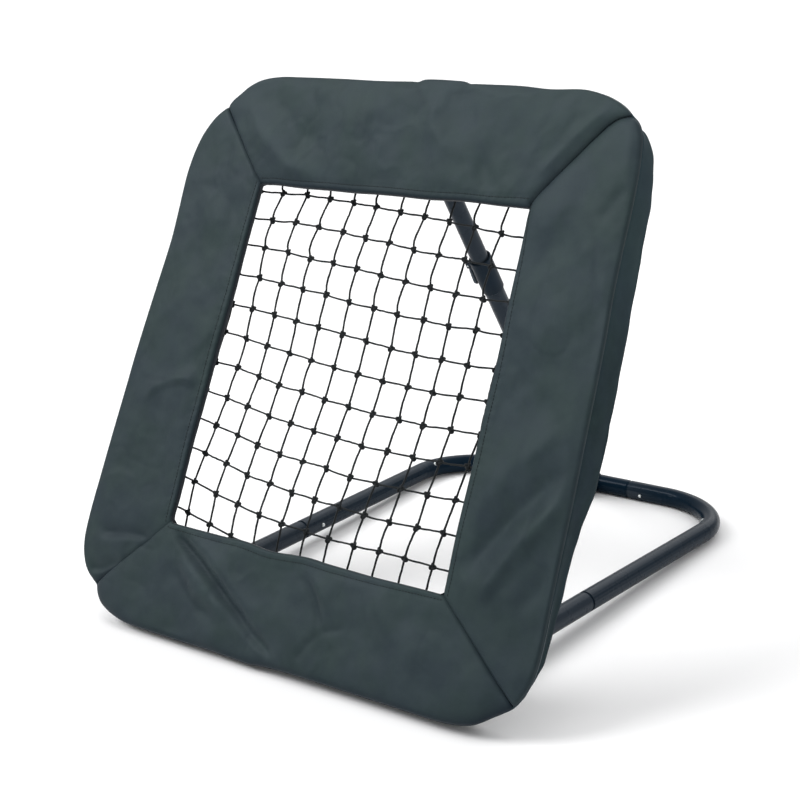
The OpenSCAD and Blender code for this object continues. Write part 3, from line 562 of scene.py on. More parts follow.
def painted_shade_highlight(x, v):
    """painted shade (above nought) and painted highlight (below) on the cloth, by place"""
    # painted shade in the creases and dents, painted highlights on the ridges beside them, following the folds of the
    # relief
    g = 0.62 * fold(x, v, [(q - 1, w - 1) for q, w in CREASE[:-2]], 6.5, 1, 0.0, 40)
    g = g + 0.30 * fold(x, v, [(-199, 98), (-171, 69), (-138, 46), (-98, 42)], 9, 1, 0.0, 26)
    g = g - 0.22 * fold(x, v, [(-190, 104), (-158, 86), (-118, 62), (-84, 46)], 9, 1, 0.0, 26)
    g = g - 0.18 * fold(x, v, [(-176, 132), (-140, 116), (-104, 98)], 14, 1, 0.0, 26)
    g = g - 0.16 * fold(x, v, [(-43, 37), (-16, 24), (12, 15)], 2.2, 1, 0.0, 12)
    g = g + 0.34 * fold(x, v, [(8, 124), (28, 116), (46, 99), (60, 74), (67, 62)], 6, 1, 0.0, 26)
    g = g + 0.24 * fold(x, v, [(60, 60), (81, 68), (104, 77)], 4.5, 1, 0.0, 16) + 0.26 * fold(x, v, [(67, 62), (48, 42), (41, 26), (44, 14)], 4.5, 1, 0.0, 14)
    g = g + 0.46 * fold(x, v, [(-340, 112), (-316, 114), (-284, 118), (-246, 122)], 8, 1, 0.0, 24)
    g = g + 0.22 * fold(x, v, [(-76, 765), (-74, 740), (-68, 716)], 12, 1, 0.0, 16)
    g = g + 0.32 * fold(x, v, [(288, 140), (298, 164), (308, 190), (320, 222), (340, 252)], 7, 1, 0.0, 24)
    g = g - 0.26 * fold(x, v, [(296, 150), (309, 184), (319, 212), (328, 238), (350, 276), (364, 302)], 5, 1, 0.0, 26)
    g = g - 0.20 * fold(x, v, [(-275, 764), (-229, 715), (-184, 682), (-131, 662), (-80, 654)], 11, 1, 0.0, 40)
    g = g + 0.20 * fold(x, v, [(-330, 296), (-314, 316), (-292, 329), (-262, 338), (-232, 332)], 6, 1, 0.0, 26)
    g = g - 0.12 * fold(x, v, [(-322, 306), (-306, 326), (-284, 342), (-256, 348)], 6, 1, 0.0, 26)
    g = g + 0.18 * fold(x, v, [(-262, 384), (-246, 404), (-229, 424)], 6, 1, 0.0, 14)
    g = g + 0.16 * fold(x, v, [(322, 632), (336, 654), (350, 680)], 5, 1, 0.0, 14)
    # painted shade in the thin random grooves, painted highlight on the thin random ridges
    g = g + 0.16 * ridge(x, v, 2.3) - 0.10 * ridge(x, v, 1.0)
    # painted shade: the lower right of the cover the darkest, the lower left and the bottom darker too
    g = g + 0.20 * smooth(200, 340, x) * smooth(460, 120, v) + 0.10 * smooth(-210, -300, x) * smooth(420, 120, v) + 0.07 * smooth(260, 60, v)
    # painted highlight: the top made paler
    g = g - 0.10 * smooth(640, 780, v)
    # painted shade on the right, below the middle
    g = g + 0.06 * smooth(150, 300, x) * smooth(560, 420, v)
    # painted shade in the puckers under the raised stretch of the top edge, and a painted highlight beside them
    g = g + 0.34 * fold(x, v, [(4, 803), (9, 790), (19, 776), (32, 764)], 4.2, 1, 0.0, 12) + 0.30 * fold(x, v, [(86, 803), (78, 792), (60, 783)], 4.0, 1, 0.0, 10)
    g = g - 0.16 * fold(x, v, [(12, 800), (18, 786), (30, 772)], 4.0, 1, 0.0, 10)
    return g

def graded(L, first=(0, 0.35, 0.9, 1.8, 3.0, 4.6, 6.8, 9.6), last=(0, 0.4, 1.0, 2.0, 3.4, 5.2, 7.4, 10.0), step=4.2, n=None):
    """fractions 0..1 with fine steps at both ends"""
    a, b = np.array(first) / L, 1 - np.array(last[::-1]) / L
    if n is None:
        n = max(4, int((L - first[-1] - last[-1]) / step))
    return np.concatenate([a, np.linspace(a[-1], b[0], n + 1)[1:-1], b])

REAR = 8.6
def panel_piece(k, name):
    """one padded face of the cover, from mitre to mitre: cloth front over foam, with a lining behind"""
    s0, s1 = ARC_M[k], (ARC_M[(k + 1) % 4] if k < 3 else TOTAL)
    Lo = s1 - s0
    fs = graded(Lo, first=(0, 0.3, 0.9, 1.9, 3.2, 5.0, 7.5, 11), last=(0, 0.3, 0.9, 1.9, 3.2, 5.0, 7.5, 11), step=4.4)
    O = on_outline(s0 + 1e-6 + (Lo - 2e-6) * fs)
    I = hole_point(k, fs)
    L = np.linalg.norm(O - I, axis=1)
    base = graded(150.0, n=34)
    W = np.stack([np.interp(np.linspace(0, 1, len(base)), np.linspace(0, 1, len(base)), graded(l, n=34)) for l in L])
    P = I[:, None, :] + (O - I)[:, None, :] * W[..., None]
    # the mitre edges stand 0.25 mm back from the seam line
    e_in = W * L[:, None]
    e_out = (1 - W) * L[:, None]
    side = np.minimum(fs, 1 - fs)[:, None] * (np.linalg.norm(np.diff(HOLE[[k, (k + 1) % 4]], axis=0)) * (1 - W) + Lo * W)
    near0 = (fs < 0.5)[:, None]
    # seam depth: tight next to the stitches, the foam swelling on both sides
    deep = {(0, 0): 3.6, (0, 1): 4.6, (1, 0): 6.2, (1, 1): 3.4, (2, 0): 3.4, (2, 1): 4.0, (3, 0): 5.0, (3, 1): 3.4}
    reach = {(0, 0): 1.9, (0, 1): 2.6, (1, 0): 7.0, (1, 1): 1.9, (2, 0): 1.9, (2, 1): 2.4, (3, 0): 4.5, (3, 1): 1.9}
    g = np.where(near0, deep[(k, 0)], deep[(k, 1)])
    rr = np.where(near0, reach[(k, 0)], reach[(k, 1)])
    if k == 3:          # a pleat beside the lower left seam that opens towards its outer end
        rr = np.where(near0, 1.9 + 8.5 * smooth(0.45, 1.0, W), rr)
    pinch = np.exp(-side / rr) * g
    pinch = pinch + 0.8 * np.exp(-(side / 20) ** 2)
    crown = 2.4 * np.clip(1 - ((W - 0.5) / 0.5) ** 4, 0, 1)
    h = crown + relief(P[..., 0], P[..., 1]) * smooth(0, 26, e_in) * smooth(0, 16, e_out) - pinch
    def nose(e, r):
        q = np.clip(1 - e / r, 0, 1)
        return 1 - np.sqrt(np.clip(1 - q * q, 0, 1))
    d = -h + 3.2 * nose(e_in, 3.0) + (4.8 if k == 2 else 3.6) * nose(e_out, 9.0 if k == 2 else 4.6) + 1.2 * np.exp(-e_out / 0.7)
    # piped stitch line a little in from the opening, and puckers along it
    st = 0.55 * np.exp(-((e_in - 9) / 2.0) ** 2)
    run = fs[:, None] * Lo
    d = d + st * smooth(4, 14, side) + 0.25 * np.sin(run / 3.1) * np.exp(-((e_in - 9) / 6.0) ** 2) * smooth(4, 20, side)
    d = np.minimum(d, REAR - 1.2)
    # pull the mitre edges apart by a hair
    gap = 0.42
    # the top right seam was sewn with a bow in it
    if k in (0, 1):
        bow = np.interp(W, [0, 0.03, 0.1, 0.25, 0.45, 0.65, 0.82, 0.91, 0.97, 1.0], [3.6, 6.5, 8.5, 11, 13.2, 14.6, 14.6, 11, 4.5, 0])
        far = (1 - fs if k == 0 else fs)[:, None] * Lo
        P = P + np.array([-0.75, 0.66]) * (bow * np.exp(-(far / 75.0) ** 2))[..., None] * np.where(W < 0.03, np.array([1.0, 0.0])[None, None, :][..., 0] * W / 0.03, 1.0)[..., None]
    n0 = (O[0] - I[0]) / L[0]
    n1 = (O[-1] - I[-1]) / L[-1]
    perp0 = np.array([n0[1], -n0[0]]); perp1 = np.array([-n1[1], n1[0]])
    mid = P[len(fs) // 2, W.shape[1] // 2]
    if np.dot(mid - I[0], perp0) < 0: perp0 = -perp0
    if np.dot(mid - I[-1], perp1) < 0: perp1 = -perp1
    P = P + perp0 * (gap * np.exp(-(fs * Lo) / 6))[:, None, None] + perp1 * (gap * np.exp(-((1 - fs) * Lo) / 6))[:, None, None]
    ns, nw = W.shape
    front = np.concatenate([P, d[..., None]], -1)
    row = np.array([[np.interp(9.0, e_in[i], front[i, :, j]) for j in range(3)] for i in range(ns)])
    keep = slice(6, ns - 6)
    stitch_run(row[keep], np.tile([0.0, 0.0, -1.0], (ns, 1))[keep])
    # behind, the lining lies flat, with the seam drawn in a little
    rd = REAR + 0.5 * np.clip(1 - ((W - 0.5) / 0.5) ** 4, 0, 1) - 0.8 * np.exp(-side / 3.0) + 0.35 * noise2(P[..., 0] / 30, P[..., 1] / 34) * smooth(0, 14, e_in) * smooth(0, 14, e_out)
    inset = 0.6 * np.exp(-e_in / 1.2)
    rear = np.concatenate([P, rd[..., None]], -1)
    V = np.concatenate([front.reshape(-1, 3), rear.reshape(-1, 3)])
    uv = np.concatenate([P.reshape(-1, 2), P.reshape(-1, 2)]) / 1000
    idx = np.arange(ns * nw).reshape(ns, nw)
    off = ns * nw
    F, Mi = [], []
    a, b, c, dd = idx[:-1, :-1], idx[1:, :-1], idx[1:, 1:], idx[:-1, 1:]
    F += list(np.stack([a, b, c, dd], -1).reshape(-1, 4)); Mi += [0] * ((ns - 1) * (nw - 1))
    F += list((np.stack([a, dd, c, b], -1) + off).reshape(-1, 4)); Mi += [1] * ((ns - 1) * (nw - 1))
    rim = list(idx[:, 0]) + list(idx[-1, 1:]) + list(idx[::-1, -1][1:]) + list(idx[0, ::-1][1:-1])
    for i in range(len(rim)):
        p, q = rim[i], rim[(i + 1) % len(rim)]
        F.append((p, q, q + off, p + off)); Mi.append(0)
    o = mesh_object(name, place(V), F, [M_FAB, M_BACK], Mi, uv=uv)
    recalc(o)
    # painted shade along the outer edge, strongest along the bottom, and along the opening's edge
    low = {0: 0.20, 1: 0.25, 2: 0.95, 3: 0.20}[k]
    lip = {0: (1.0, 9.5), 1: (0.45, 3.5), 2: (0.12, 2.5), 3: (0.45, 3.5)}[k]
    lip_w = lip[1] * (0.42 + 0.58 * smooth(150, -30, P[..., 0]) if k == 0 else 1.0)
    # painted shade and highlights on the folds, and painted shade along the outer edge, in the mitre seams and along
    # the opening's edge
    painted_light_vals = painted_shade_highlight(P[..., 0], P[..., 1]) * smooth(0, 9, e_in) + low * np.exp(-(e_out / (7.5 if k == 2 else 3.0)) ** 1.5) + 0.42 * np.exp(-side / 2.0) + lip[0] * np.exp(-(e_in / lip_w) ** 1.4)
    # painted shade in the pleat beside the lower left seam
    if k == 3:
        painted_light_vals = painted_light_vals + np.where(near0, 0.75 * np.exp(-(side / 8.0) ** 2) * smooth(0.5, 0.95, W), 0)
    # the lining behind gets a flat darkening of its own colour
    paint_attr(o, "painted_light_and_tone", np.concatenate([painted_light_vals.ravel(), np.full(ns * nw, 0.25)]))
    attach(o, "panel")
    return o
STITCH = []
def stitch_run(path, up, pitch=4.7, length=3.3, rise=0.30, sink=0.7):
    """thread seen along a seam: one short arch per stitch, its ends going down into the cloth"""
    seg = np.linalg.norm(np.diff(path, axis=0), axis=1)
    s = np.concatenate([[0], np.cumsum(seg)])
    n = max(1, int(s[-1] / pitch))
    for i in range(n):
        a = (i + 0.2) * s[-1] / n + 0.15 * math.sin(i * 12.9898)
        q = a + np.array([0, 0.35, length - 0.35, length])
        q = np.clip(q, 0, s[-1])
        P = np.stack([np.interp(q, s, path[:, j]) for j in range(3)], 1)
        U_ = np.stack([np.interp(q, s, up[:, j]) for j in range(3)], 1)
        STITCH.append(P + U_ * np.array([-sink, rise, rise, -sink])[:, None])

for k, (side, extra) in enumerate([("top", ["cover_lining"]), ("right", []), ("bottom", []), ("left", [])]):
    o = panel_piece(k, "padded_face_" + side)
    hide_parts("face_" + side, "pad_" + side, *extra)

# ---------------------------------------------------------------- side band and gathered hem
def pos_tables(s):
    """depth D, rear rounding rho, outward bulge b, hem width, by place round the edge"""
    p = on_outline(s)
    x, v = p[..., 0], p[..., 1]
    right = x > 0
    vr_D = table1([(0, 47.5), (60, 47.5), (87, 46), (122, 45), (150, 46), (176, 48), (255, 49.5), (280, 51.5), (310, 53.5), (360, 54), (453, 54), (560, 53), (660, 52), (720, 49), (780, 47.5), (805, 50)])
    vr_r = table1([(0, 17.5), (60, 17.5), (87, 19), (122, 21), (150, 21), (176, 20), (235, 17), (262, 13), (285, 7), (310, 6), (640, 6), (700, 8), (740, 14), (780, 17), (800, 15), (808, 8)])
    vr_b = table1([(0, -6), (40, -11), (70, -11), (95, -7), (122, -3), (180, -2), (255, -1), (285, 1), (310, 4), (362, 5.5), (437, 5), (475, 5), (541, 6), (600, 4.5), (642, 3), (700, 2.4), (722, 0.6), (745, -1.5), (765, -5), (780, -8), (798, -6), (808, 0)])
    vl_D = table1([(0, 47.5), (60, 47.5), (120, 47.5), (220, 50), (400, 51), (700, 50), (780, 47.5), (805, 50)])
    vl_r = table1([(0, 17.5), (90, 19), (160, 18), (240, 9), (400, 7), (700, 8), (780, 16), (805, 8)])
    vl_b = table1([(0, -6), (50, -10), (90, -5), (200, 0), (300, 3), (450, 4), (600, 2), (700, 1), (735, 3), (770, 4), (796, 1), (808, 0)])
    D = np.where(right, vr_D(v), vl_D(v))
    r = np.where(right, vr_r(v), vl_r(v))
    b = np.where(right, vr_b(v), vl_b(v))
    bottom = (v < 30) & (np.abs(x) < 300)
    kb = smooth(330, 262, np.abs(x)) * (v < 100)
    D = D * (1 - kb) + 47.2 * kb
    r = r * (1 - kb) + 17.2 * kb
    b = b * (1 - kb)
    return p, D, r, b, kb

NB = 680
S = (np.arange(NB) + 0.5) / NB * TOTAL
Pb, Db, Rb, Bb, KB = pos_tables(S)
Nb = out_normal(S)
# smooth the tables along the edge
def roll_smooth(a, w=7):
    ker = np.ones(w) / w
    return np.convolve(np.concatenate([a[-w:], a, a[:w]]), ker, "same")[w:-w]
Db, Rb, Bb, KB = (roll_smooth(a) for a in (Db, Rb, Bb, KB))
# the lower run drops straight from the seam to the bar: take the front overhang back out behind
over = np.clip(20.55 - Rb - Pb[:, 1], 0, 9) * KB
ux, uv_ = Pb[:, 0], Pb[:, 1]
leg = np.maximum(smooth(44, 33, np.abs(np.abs(ux) - 237)) * (uv_ < 60), 0)
mast = smooth(38, 26, np.abs(ux)) * (uv_ > 700)
hem_w = 47.0 - 2.2 * (0.5 + 0.5 * np.sin(S / 17.0)) - 38 * mast
# gathers: uneven period, deeper at the corners
ph = np.cumsum(1 / (11.0 + 3.5 * noise2(S / 60, 0.3)) * (TOTAL / NB))
ph = ph * (2 * math.pi * round(ph[-1] / (2 * math.pi) * 1.0) / ph[-1]) if ph[-1] > 6 else ph
corner = np.clip(1 - np.minimum.reduce([np.hypot(Pb[:, 0] - cx, Pb[:, 1] - cy) for cx, cy in ((-330, 760), (330, 760), (345, 40), (-345, 40))]) / 170, 0, 1)
gath = (0.75 + 0.75 * corner) * (np.sin(ph) + 0.45 * np.sin(2 * ph + 2.0 * noise2(S / 90, 4.4))) * (1 - 0.85 * KB)
BW = 1.5
def band_rows():
    rows = []   # each: (o, d, kind, weight of gathers)
    straight = np.linspace(0, 1, 9)
    arcs = np.linspace(0, 1, 10)[1:]
    hem = np.linspace(0, 1, 13)[1:]
    def outer():
        R_ = []
        R_.append((np.full(NB, -4.2), np.full(NB, 9.2), 0.0, (0.0, -1.0)))
        R_.append((np.full(NB, -1.9), np.full(NB, 5.8), 0.0, (0.6, -0.7)))
        R_.append((np.full(NB, -0.5), np.full(NB, 5.2), 0.0, (0.8, -0.5)))
        for t in straight:
            d = 6.1 + (Db - Rb - 6.1) * t
            o = 0.35 + Bb * np.sin(np.pi * 0.5 * np.clip(t * 1.15, 0, 1)) - over * smooth(9, 29, d)
            wr = 0.9 * noise2(Pb[:, 0] / 33 + Pb[:, 1] / 41, d / 24 + 3) * np.sin(np.pi * min(1, t * 1.4) * 0.5)
            R_.append((o + wr * (1 - KB), d, 0.25 * t, (1.0, 0.0)))
        ob = 0.35 + Bb - over
        full = Rb * math.pi / 2
        flat = np.maximum(hem_w + (ob - Rb), 1.0)
        cut = np.maximum(0.30 * full, 1.0)         # how far the cloth goes at a leg bracket
        for t in list(arcs) + [1 + q for q in hem]:
            l = np.where(t <= 1, full * min(t, 1), full + flat * (t - 1))
            l = l * (1 - leg) + cut * leg * l / (full + flat)
            a = np.minimum(l / Rb, math.pi / 2)
            o = ob - Rb + Rb * np.cos(a) - np.maximum(l - full, 0)
            R_.append((o, Db - Rb + Rb * np.sin(a), (0.25 + 0.75 * t if t <= 1 else 1.0 + 0.5 * (t - 1)), (np.cos(a), np.sin(a))))
        return R_
    A = outer()
    n_out = len(A)
    wall = []
    for o, d, w, (no, nd) in A:
        wall.append((o + gath * w * no, d + gath * w * nd))
    # elastic bead round the hem's edge
    ox, od = wall[-1]
    tx, td = A[-1][3]                    # normal of the cloth where it ends
    cx, cd = ox - td * 1.2 - tx * 1.1, od + tx * 1.2 - td * 1.1
    bead = []
    rb_ = 2.5 - 1.2 * leg
    for a in np.linspace(80, -200, 9):
        q = math.radians(a)
        bead.append((cx - rb_ * math.cos(q) * td + rb_ * math.sin(q) * tx, cd + rb_ * math.sin(q) * td + rb_ * math.cos(q) * tx))
    inner = []
    for o, d, w, (no, nd) in A[::-1]:
        inner.append((o + gath * w * no - BW * no, d + gath * w * nd - BW * nd))
    inner = inner[2:]      # behind the bead
    return wall + bead + inner, n_out
rows, n_out = band_rows()
G = []
for o, d in rows:
    xy = Pb + Nb * np.asarray(o)[:, None]
    G.append(np.concatenate([xy, np.broadcast_to(d, NB)[:, None]], 1))
G = np.stack(G, 1)                      # NB x profile x 3

def off_tube(P, clear):
    """cloth lying on the frame tube: push points out to the tube's radius plus their own clearance"""
    x, v, d = P[..., 0], P[..., 1], P[..., 2]
    qx, qv = np.abs(x) - 253.0, np.abs(v - 400.0) - 295.0
    gx = np.where((qx > 0) & (qv > 0), qx / np.maximum(np.hypot(qx, qv), 1e-9), np.where(qx - qv > 0, 1.0, 0.0)) * np.sign(x)
    gv = np.where((qx > 0) & (qv > 0), qv / np.maximum(np.hypot(qx, qv), 1e-9), np.where(qx - qv > 0, 0.0, 1.0)) * np.sign(v - 400.0)
    sd = np.where((qx > 0) & (qv > 0), np.hypot(qx, qv), np.maximum(qx, qv)) - 85.0
    dd = d - 30.0
    r = np.hypot(sd, dd)
    k = 0.7
    # the elastic loops of the net stand up under the cloth
    along = np.where(qx - qv > 0, v, np.abs(x) + 1e4)
    for at in (143.5, 229.5, 315.5, 401.5, 487.5, 573.5, 659.5, 1e4 + 60.9, 1e4 + 142.1, 1e4 + 223.3):
        clear = clear + 2.8 * np.exp(-((along - at) / 6.5) ** 4)
    need = 15.0 + clear
    r2 = need + k * np.logaddexp(0.0, (r - need) / k)
    r2 = np.where(r < need + 8, r2, r)
    f = r2 / np.maximum(r, 1e-6)
    push = sd * (f - 1)
    return np.stack([x + gx * push, v + gv * push, 30.0 + dd * f], -1)
CLEAR = np.array([0.35 + BW] * n_out + list(np.linspace(0.35 + BW, 0.35, 9)) + [0.35] * (G.shape[1] - n_out - 9))
G = off_tube(G, CLEAR[None, :])
wz = place(G)
wz[..., 2] = np.maximum(wz[..., 2], 0.0006)
npf = G.shape[1]
plen = np.concatenate([[0], np.cumsum(np.linalg.norm(np.diff(G[NB // 3], axis=0), axis=1))])
uvb = np.stack([np.broadcast_to(S[:, None], (NB, npf)), np.broadcast_to(plen[None], (NB, npf))], -1).reshape(-1, 2) / 1000
idx = np.arange(NB * npf).reshape(NB, npf)
i2 = np.roll(idx, -1, 0)
j2, i2j2 = np.roll(idx, -1, 1), np.roll(i2, -1, 1)
Fb = np.stack([idx, i2, i2j2, j2], -1).reshape(-1, 4)
Mb = np.broadcast_to(np.where(np.arange(npf) < n_out + 9, 0, 1), (NB, npf)).ravel()
band = mesh_object("side_band_and_hem", wz.reshape(-1, 3), Fb, [M_BAND, M_BACK], Mb, uv=uvb)
recalc(band)
# painted shade, darker towards the ground, and painted light, paler higher up
band_painted_light = 0.62 * smooth(0.050, 0.004, wz[..., 2]) + 0.14 * smooth(0.35, 0.05, wz[..., 2]) - 0.55 * smooth(0.34, 0.58, wz[..., 2])
paint_attr(band, "painted_light_and_tone", band_painted_light)
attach(band, "panel")
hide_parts("side_band", "back_hem")

# ---------------------------------------------------------------- binding round the opening
def binding():
    path = np.concatenate([hole_point(k, np.linspace(0, 1, 90)[:-1]) for k in range(4)])
    n = len(path)
    t = np.roll(path, -1, 0) - np.roll(path, 1, 0)
    t /= np.linalg.norm(t, axis=1, keepdims=True)
    nrm = np.stack([-t[:, 1], t[:, 0]], 1)         # away from the opening
    s = np.concatenate([[0], np.cumsum(np.linalg.norm(np.diff(path, axis=0), axis=1))])
    prof = [(0.7, 2.2), (-0.1, 2.7), (-0.35, 4.0), (-0.4, 6.0), (-0.35, 8.4), (0.0, 9.9), (0.9, 10.5), (3, 10.55), (6, 10.4), (9, 10.35), (11.3, 10.1), (12, 9.5), (11, 9.3), (6, 9.35), (1.6, 9.3), (0.9, 8.4), (0.85, 5), (0.9, 2.6)]
    ripple = 0.18 * np.sin(s / 4.1) + 0.3 * noise2(s / 40, 2.2)
    V = np.stack([np.concatenate([path + nrm * o, np.full((n, 1), d) + (ripple[:, None] if 4 < i < 13 else 0)], 1) for i, (o, d) in enumerate(prof)], 1)
    m = len(prof)
    idx = np.arange(n * m).reshape(n, m)
    i2 = np.roll(idx, -1, 0)
    F = np.stack([idx, i2, np.roll(i2, -1, 1), np.roll(idx, -1, 1)], -1).reshape(-1, 4)
    L = np.cumsum([0] + [math.dist(a, b) for a, b in zip(prof[:-1], prof[1:])])
    uv = np.stack([np.broadcast_to(s[:, None], (n, m)), np.broadcast_to(L[None], (n, m))], -1).reshape(-1, 2) / 1000
    o = mesh_object("opening_binding_tape", place(V.reshape(-1, 3)), F, [M_TAPE], uv=uv)
    recalc(o)
    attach(o, "panel")
    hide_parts("opening_binding")
    return o
binding()

# ---------------------------------------------------------------- tubes along paths
def sweep(paths, radii, sides, closed=False, caps=True, twist=0.0):
    """tubes along polylines (n x 3, mm, panel coordinates); returns vertices, faces and uv"""
    V, F, U = [], [], []
    off = 0
    for P, r in zip(paths, radii):
        P = np.asarray(P, float)
        n = len(P)
        T = np.gradient(P, axis=0) if not closed else np.roll(P, -1, 0) - np.roll(P, 1, 0)
        T /= np.linalg.norm(T, axis=1, keepdims=True)
        ref = np.array([0, 0, 1.0]) if abs(T[0][2]) < 0.8 else np.array([1.0, 0, 0])
        A = np.zeros_like(P)
        a = ref - T[0] * (ref @ T[0]); a /= np.linalg.norm(a)
        for i in range(n):
            a = a - T[i] * (a @ T[i]); a /= np.linalg.norm(a)
            A[i] = a
        B = np.cross(T, A)
        if closed:   # spread the leftover turn
            a1 = A[-1] - T[0] * (A[-1] @ T[0]); a1 /= np.linalg.norm(a1)
            ang = math.atan2(a1 @ B[0], a1 @ A[0])
            th = -ang * np.arange(n) / n
            A, B = A * np.cos(th)[:, None] + B * np.sin(th)[:, None], B * np.cos(th)[:, None] - A * np.sin(th)[:, None]
        q = np.arange(sides) / sides * 2 * math.pi
        rad = np.broadcast_to(np.asarray(r, float), (n,))
        ring = P[:, None, :] + rad[:, None, None] * (np.cos(q)[None, :, None] * A[:, None, :] + np.sin(q)[None, :, None] * B[:, None, :])
        s = np.concatenate([[0], np.cumsum(np.linalg.norm(np.diff(P, axis=0), axis=1))])
        V.append(ring.reshape(-1, 3))
        U.append(np.stack([np.broadcast_to(s[:, None], (n, sides)) / 1000, np.broadcast_to(q[None] / (2 * math.pi), (n, sides))], -1).reshape(-1, 2))
        idx = off + np.arange(n * sides).reshape(n, sides)
        nx = np.roll(idx, -1, 0) if closed else idx[1:]
        cu = idx if closed else idx[:-1]
        F += [tuple(f) for f in np.stack([cu, nx, np.roll(nx, -1, 1), np.roll(cu, -1, 1)], -1).reshape(-1, 4)]
        if not closed and caps:
            F.append(tuple(idx[0][::-1])); F.append(tuple(idx[-1]))
        off += n * sides
    return np.concatenate(V), F, np.concatenate(U)

# ---------------------------------------------------------------- the net
PW, PH, ROW0 = 40.6, 43.0, 150.0
NX, NV0, NV1, ND = 300.0, 72.0, 740.0, 30.0
DXC = {(0, 0): 2.1, (0, 1): 12.5, (0, 2): -33.8, (0, 3): -0.6, (0, 4): 26.9, (1, 0): 1.4, (1, 1): 4.0, (1, 2): 5.1, (1, 3): -1.5, (1, 4): -9.9,
       (2, 0): 1.6, (2, 1): -1.0, (2, 2): -3.4, (2, 3): 1.4, (3, 0): -0.5, (3, 1): -0.6, (3, 2): 6.1}
DVC = {(0, 0): -12.4, (0, 1): 11.9, (0, 2): 10.8, (0, 3): -4.2, (0, 4): -3.7, (1, 0): -16.0, (1, 1): -7.9, (1, 2): -2.7, (1, 3): 2.2, (1, 4): 6.1,
       (2, 0): 9.3, (2, 1): -11.0, (2, 2): -5.0, (2, 3): 3.1, (3, 0): 2.1, (3, 1): 6.8, (3, 2): -5.2}
def knot(i, j):
    """where knot (column i, row j) hangs, in the panel plane"""
    r = np.random.default_rng(1000 + 37 * (i + 20) + (j + 20))
    ic, jc = min(max(i, -5.6), 5.4), min(max(j, -0.4), 11.4)
    a, b = ic / 5, (jc - 5.5) / 5.5
    dx = sum(c * a**p * b**q for (p, q), c in DXC.items())
    dv = sum(c * a**p * b**q for (p, q), c in DVC.items())
    fall = float(smooth(8.0, 6.0, abs(i)) * smooth(-2.6, -0.6, j) * smooth(14.2, 12.2, j))
    return np.array([PW * i + dx * fall + r.normal(0, 0.8), ROW0 + PH * j + dv * fall + r.normal(0, 0.8)])
COLS, ROWS = range(-7, 8), range(-1, 14)
K = {(i, j): knot(i, j) for i in COLS for j in ROWS}
r_tw = 1.43
paths, radii = [], []
def strand(a, b, da, db, sag, key, hook=0.0):
    """one leg of the net between two knots, a little slack"""
    r = np.random.default_rng(key)
    L = np.linalg.norm(b - a)
    m = 13 if hook > 0.4 else 9
    t = np.linspace(0, 1, m)[:, None]
    ma, mb = (b - a) + da * L, (b - a) + db * L
    xy = (2 * t**3 - 3 * t**2 + 1) * a + (t**3 - 2 * t**2 + t) * ma + (-2 * t**3 + 3 * t**2) * b + (t**3 - t**2) * mb
    w = r.normal(0, 0.35, 2)
    xy = xy + np.sin(np.pi * t) * np.array([w[0], w[1] - sag]) + r.normal(0, 0.16, (m, 2)) * np.sin(np.pi * t)
    at = 0.25 + r.normal(0, 0.03)
    u = t[:, 0]
    xy[:, 0] -= hook * np.maximum(0, 1 - np.sqrt(((u - at) / np.where(u < at, at, 1 - at)) ** 2 + 0.012) + 0.10) * smooth(0, 0.08, u) * smooth(1, 0.92, u)
    d = ND + 0.9 * np.sin(np.pi * t[:, 0]) * r.normal(0, 1) 
    paths.append(np.concatenate([xy, d[:, None]], 1))
    radii.append(r_tw * (1 + 0.05 * np.sin(np.linspace(0, 9, m) + key)))
for (i, j), p in K.items():
    up = float(smooth(5.5, 10.5, j))
    lefty = float(smooth(1.5, -3.0, i))
    if (i, j + 1) in K:      # from the lower knot up to the next: leaves it upright, then leans into the one above
        q = K[(i, j + 1)]
        vary = np.random.default_rng(6000 + 31 * (i + 9) + j).uniform(0.25, 1.25)
        strand(p, q, np.array([-0.05, 0.05]), np.array([0.02, 0]), 0, 5000 + 31 * (i + 9) + j, 4.6 * up * (0.75 + 0.35 * lefty) * vary)
    if (i + 1, j) in K:      # across: leaves low, comes in high
        q = K[(i + 1, j)]
        dip = 0.10 + 0.06 * up
        strand(p, q, np.array([0, -dip]), np.array([0, dip * -0.6]), 0.5 * up, 9000 + 31 * (i + 9) + j)
# ends to the border cord
for i in COLS:
    for j, v in ((ROWS[0], NV0), (ROWS[-1], NV1)):
        p = K[(i, j)]
        strand(p, np.array([p[0] * 0.6 + PW * i * 0.4, v]), np.zeros(2), np.zeros(2), 0, 300 + i * 3 + (j > 0))
for j in ROWS:
    for i, x in ((COLS[0], -NX), (COLS[-1], NX)):
        p = K[(i, j)]
        strand(p, np.array([x, p[1] * 0.6 + (ROW0 + PH * j) * 0.4]), np.zeros(2), np.zeros(2), 0, 700 + j * 3 + (i > 0))
Vn, Fn, Un = sweep(paths, radii, 6)
# knots: three small interlocked turns of the twine drawn tight
kp, kr = [], []
th = np.linspace(0, 2 * math.pi, 27)[:-1]
tre = np.stack([np.sin(th) + 2 * np.sin(2 * th), np.cos(th) - 2 * np.cos(2 * th), -1.15 * np.sin(3 * th)], 1)
for (i, j), p in K.items():
    r = np.random.default_rng(4000 + 37 * (i + 20) + j)
    a = r.uniform(-0.35, 0.35) + (0.6 if (i + j) % 2 else -0.5)
    c, s = math.cos(a), math.sin(a)
    sx, sy = 1.32 + r.uniform(-0.12, 0.12), 1.5 + r.uniform(-0.14, 0.14)
    q = tre * np.array([sx, sy, 1.15])
    q = np.stack([q[:, 0] * c - q[:, 1] * s, q[:, 0] * s + q[:, 1] * c, q[:, 2]], 1)
    kp.append(q + np.array([p[0], p[1], ND])); kr.append(1.6)
Vk, Fk, Uk = sweep(kp, kr, 6, closed=True)
off = len(Vn)
Fk = [tuple(i + off for i in f) for f in Fk]
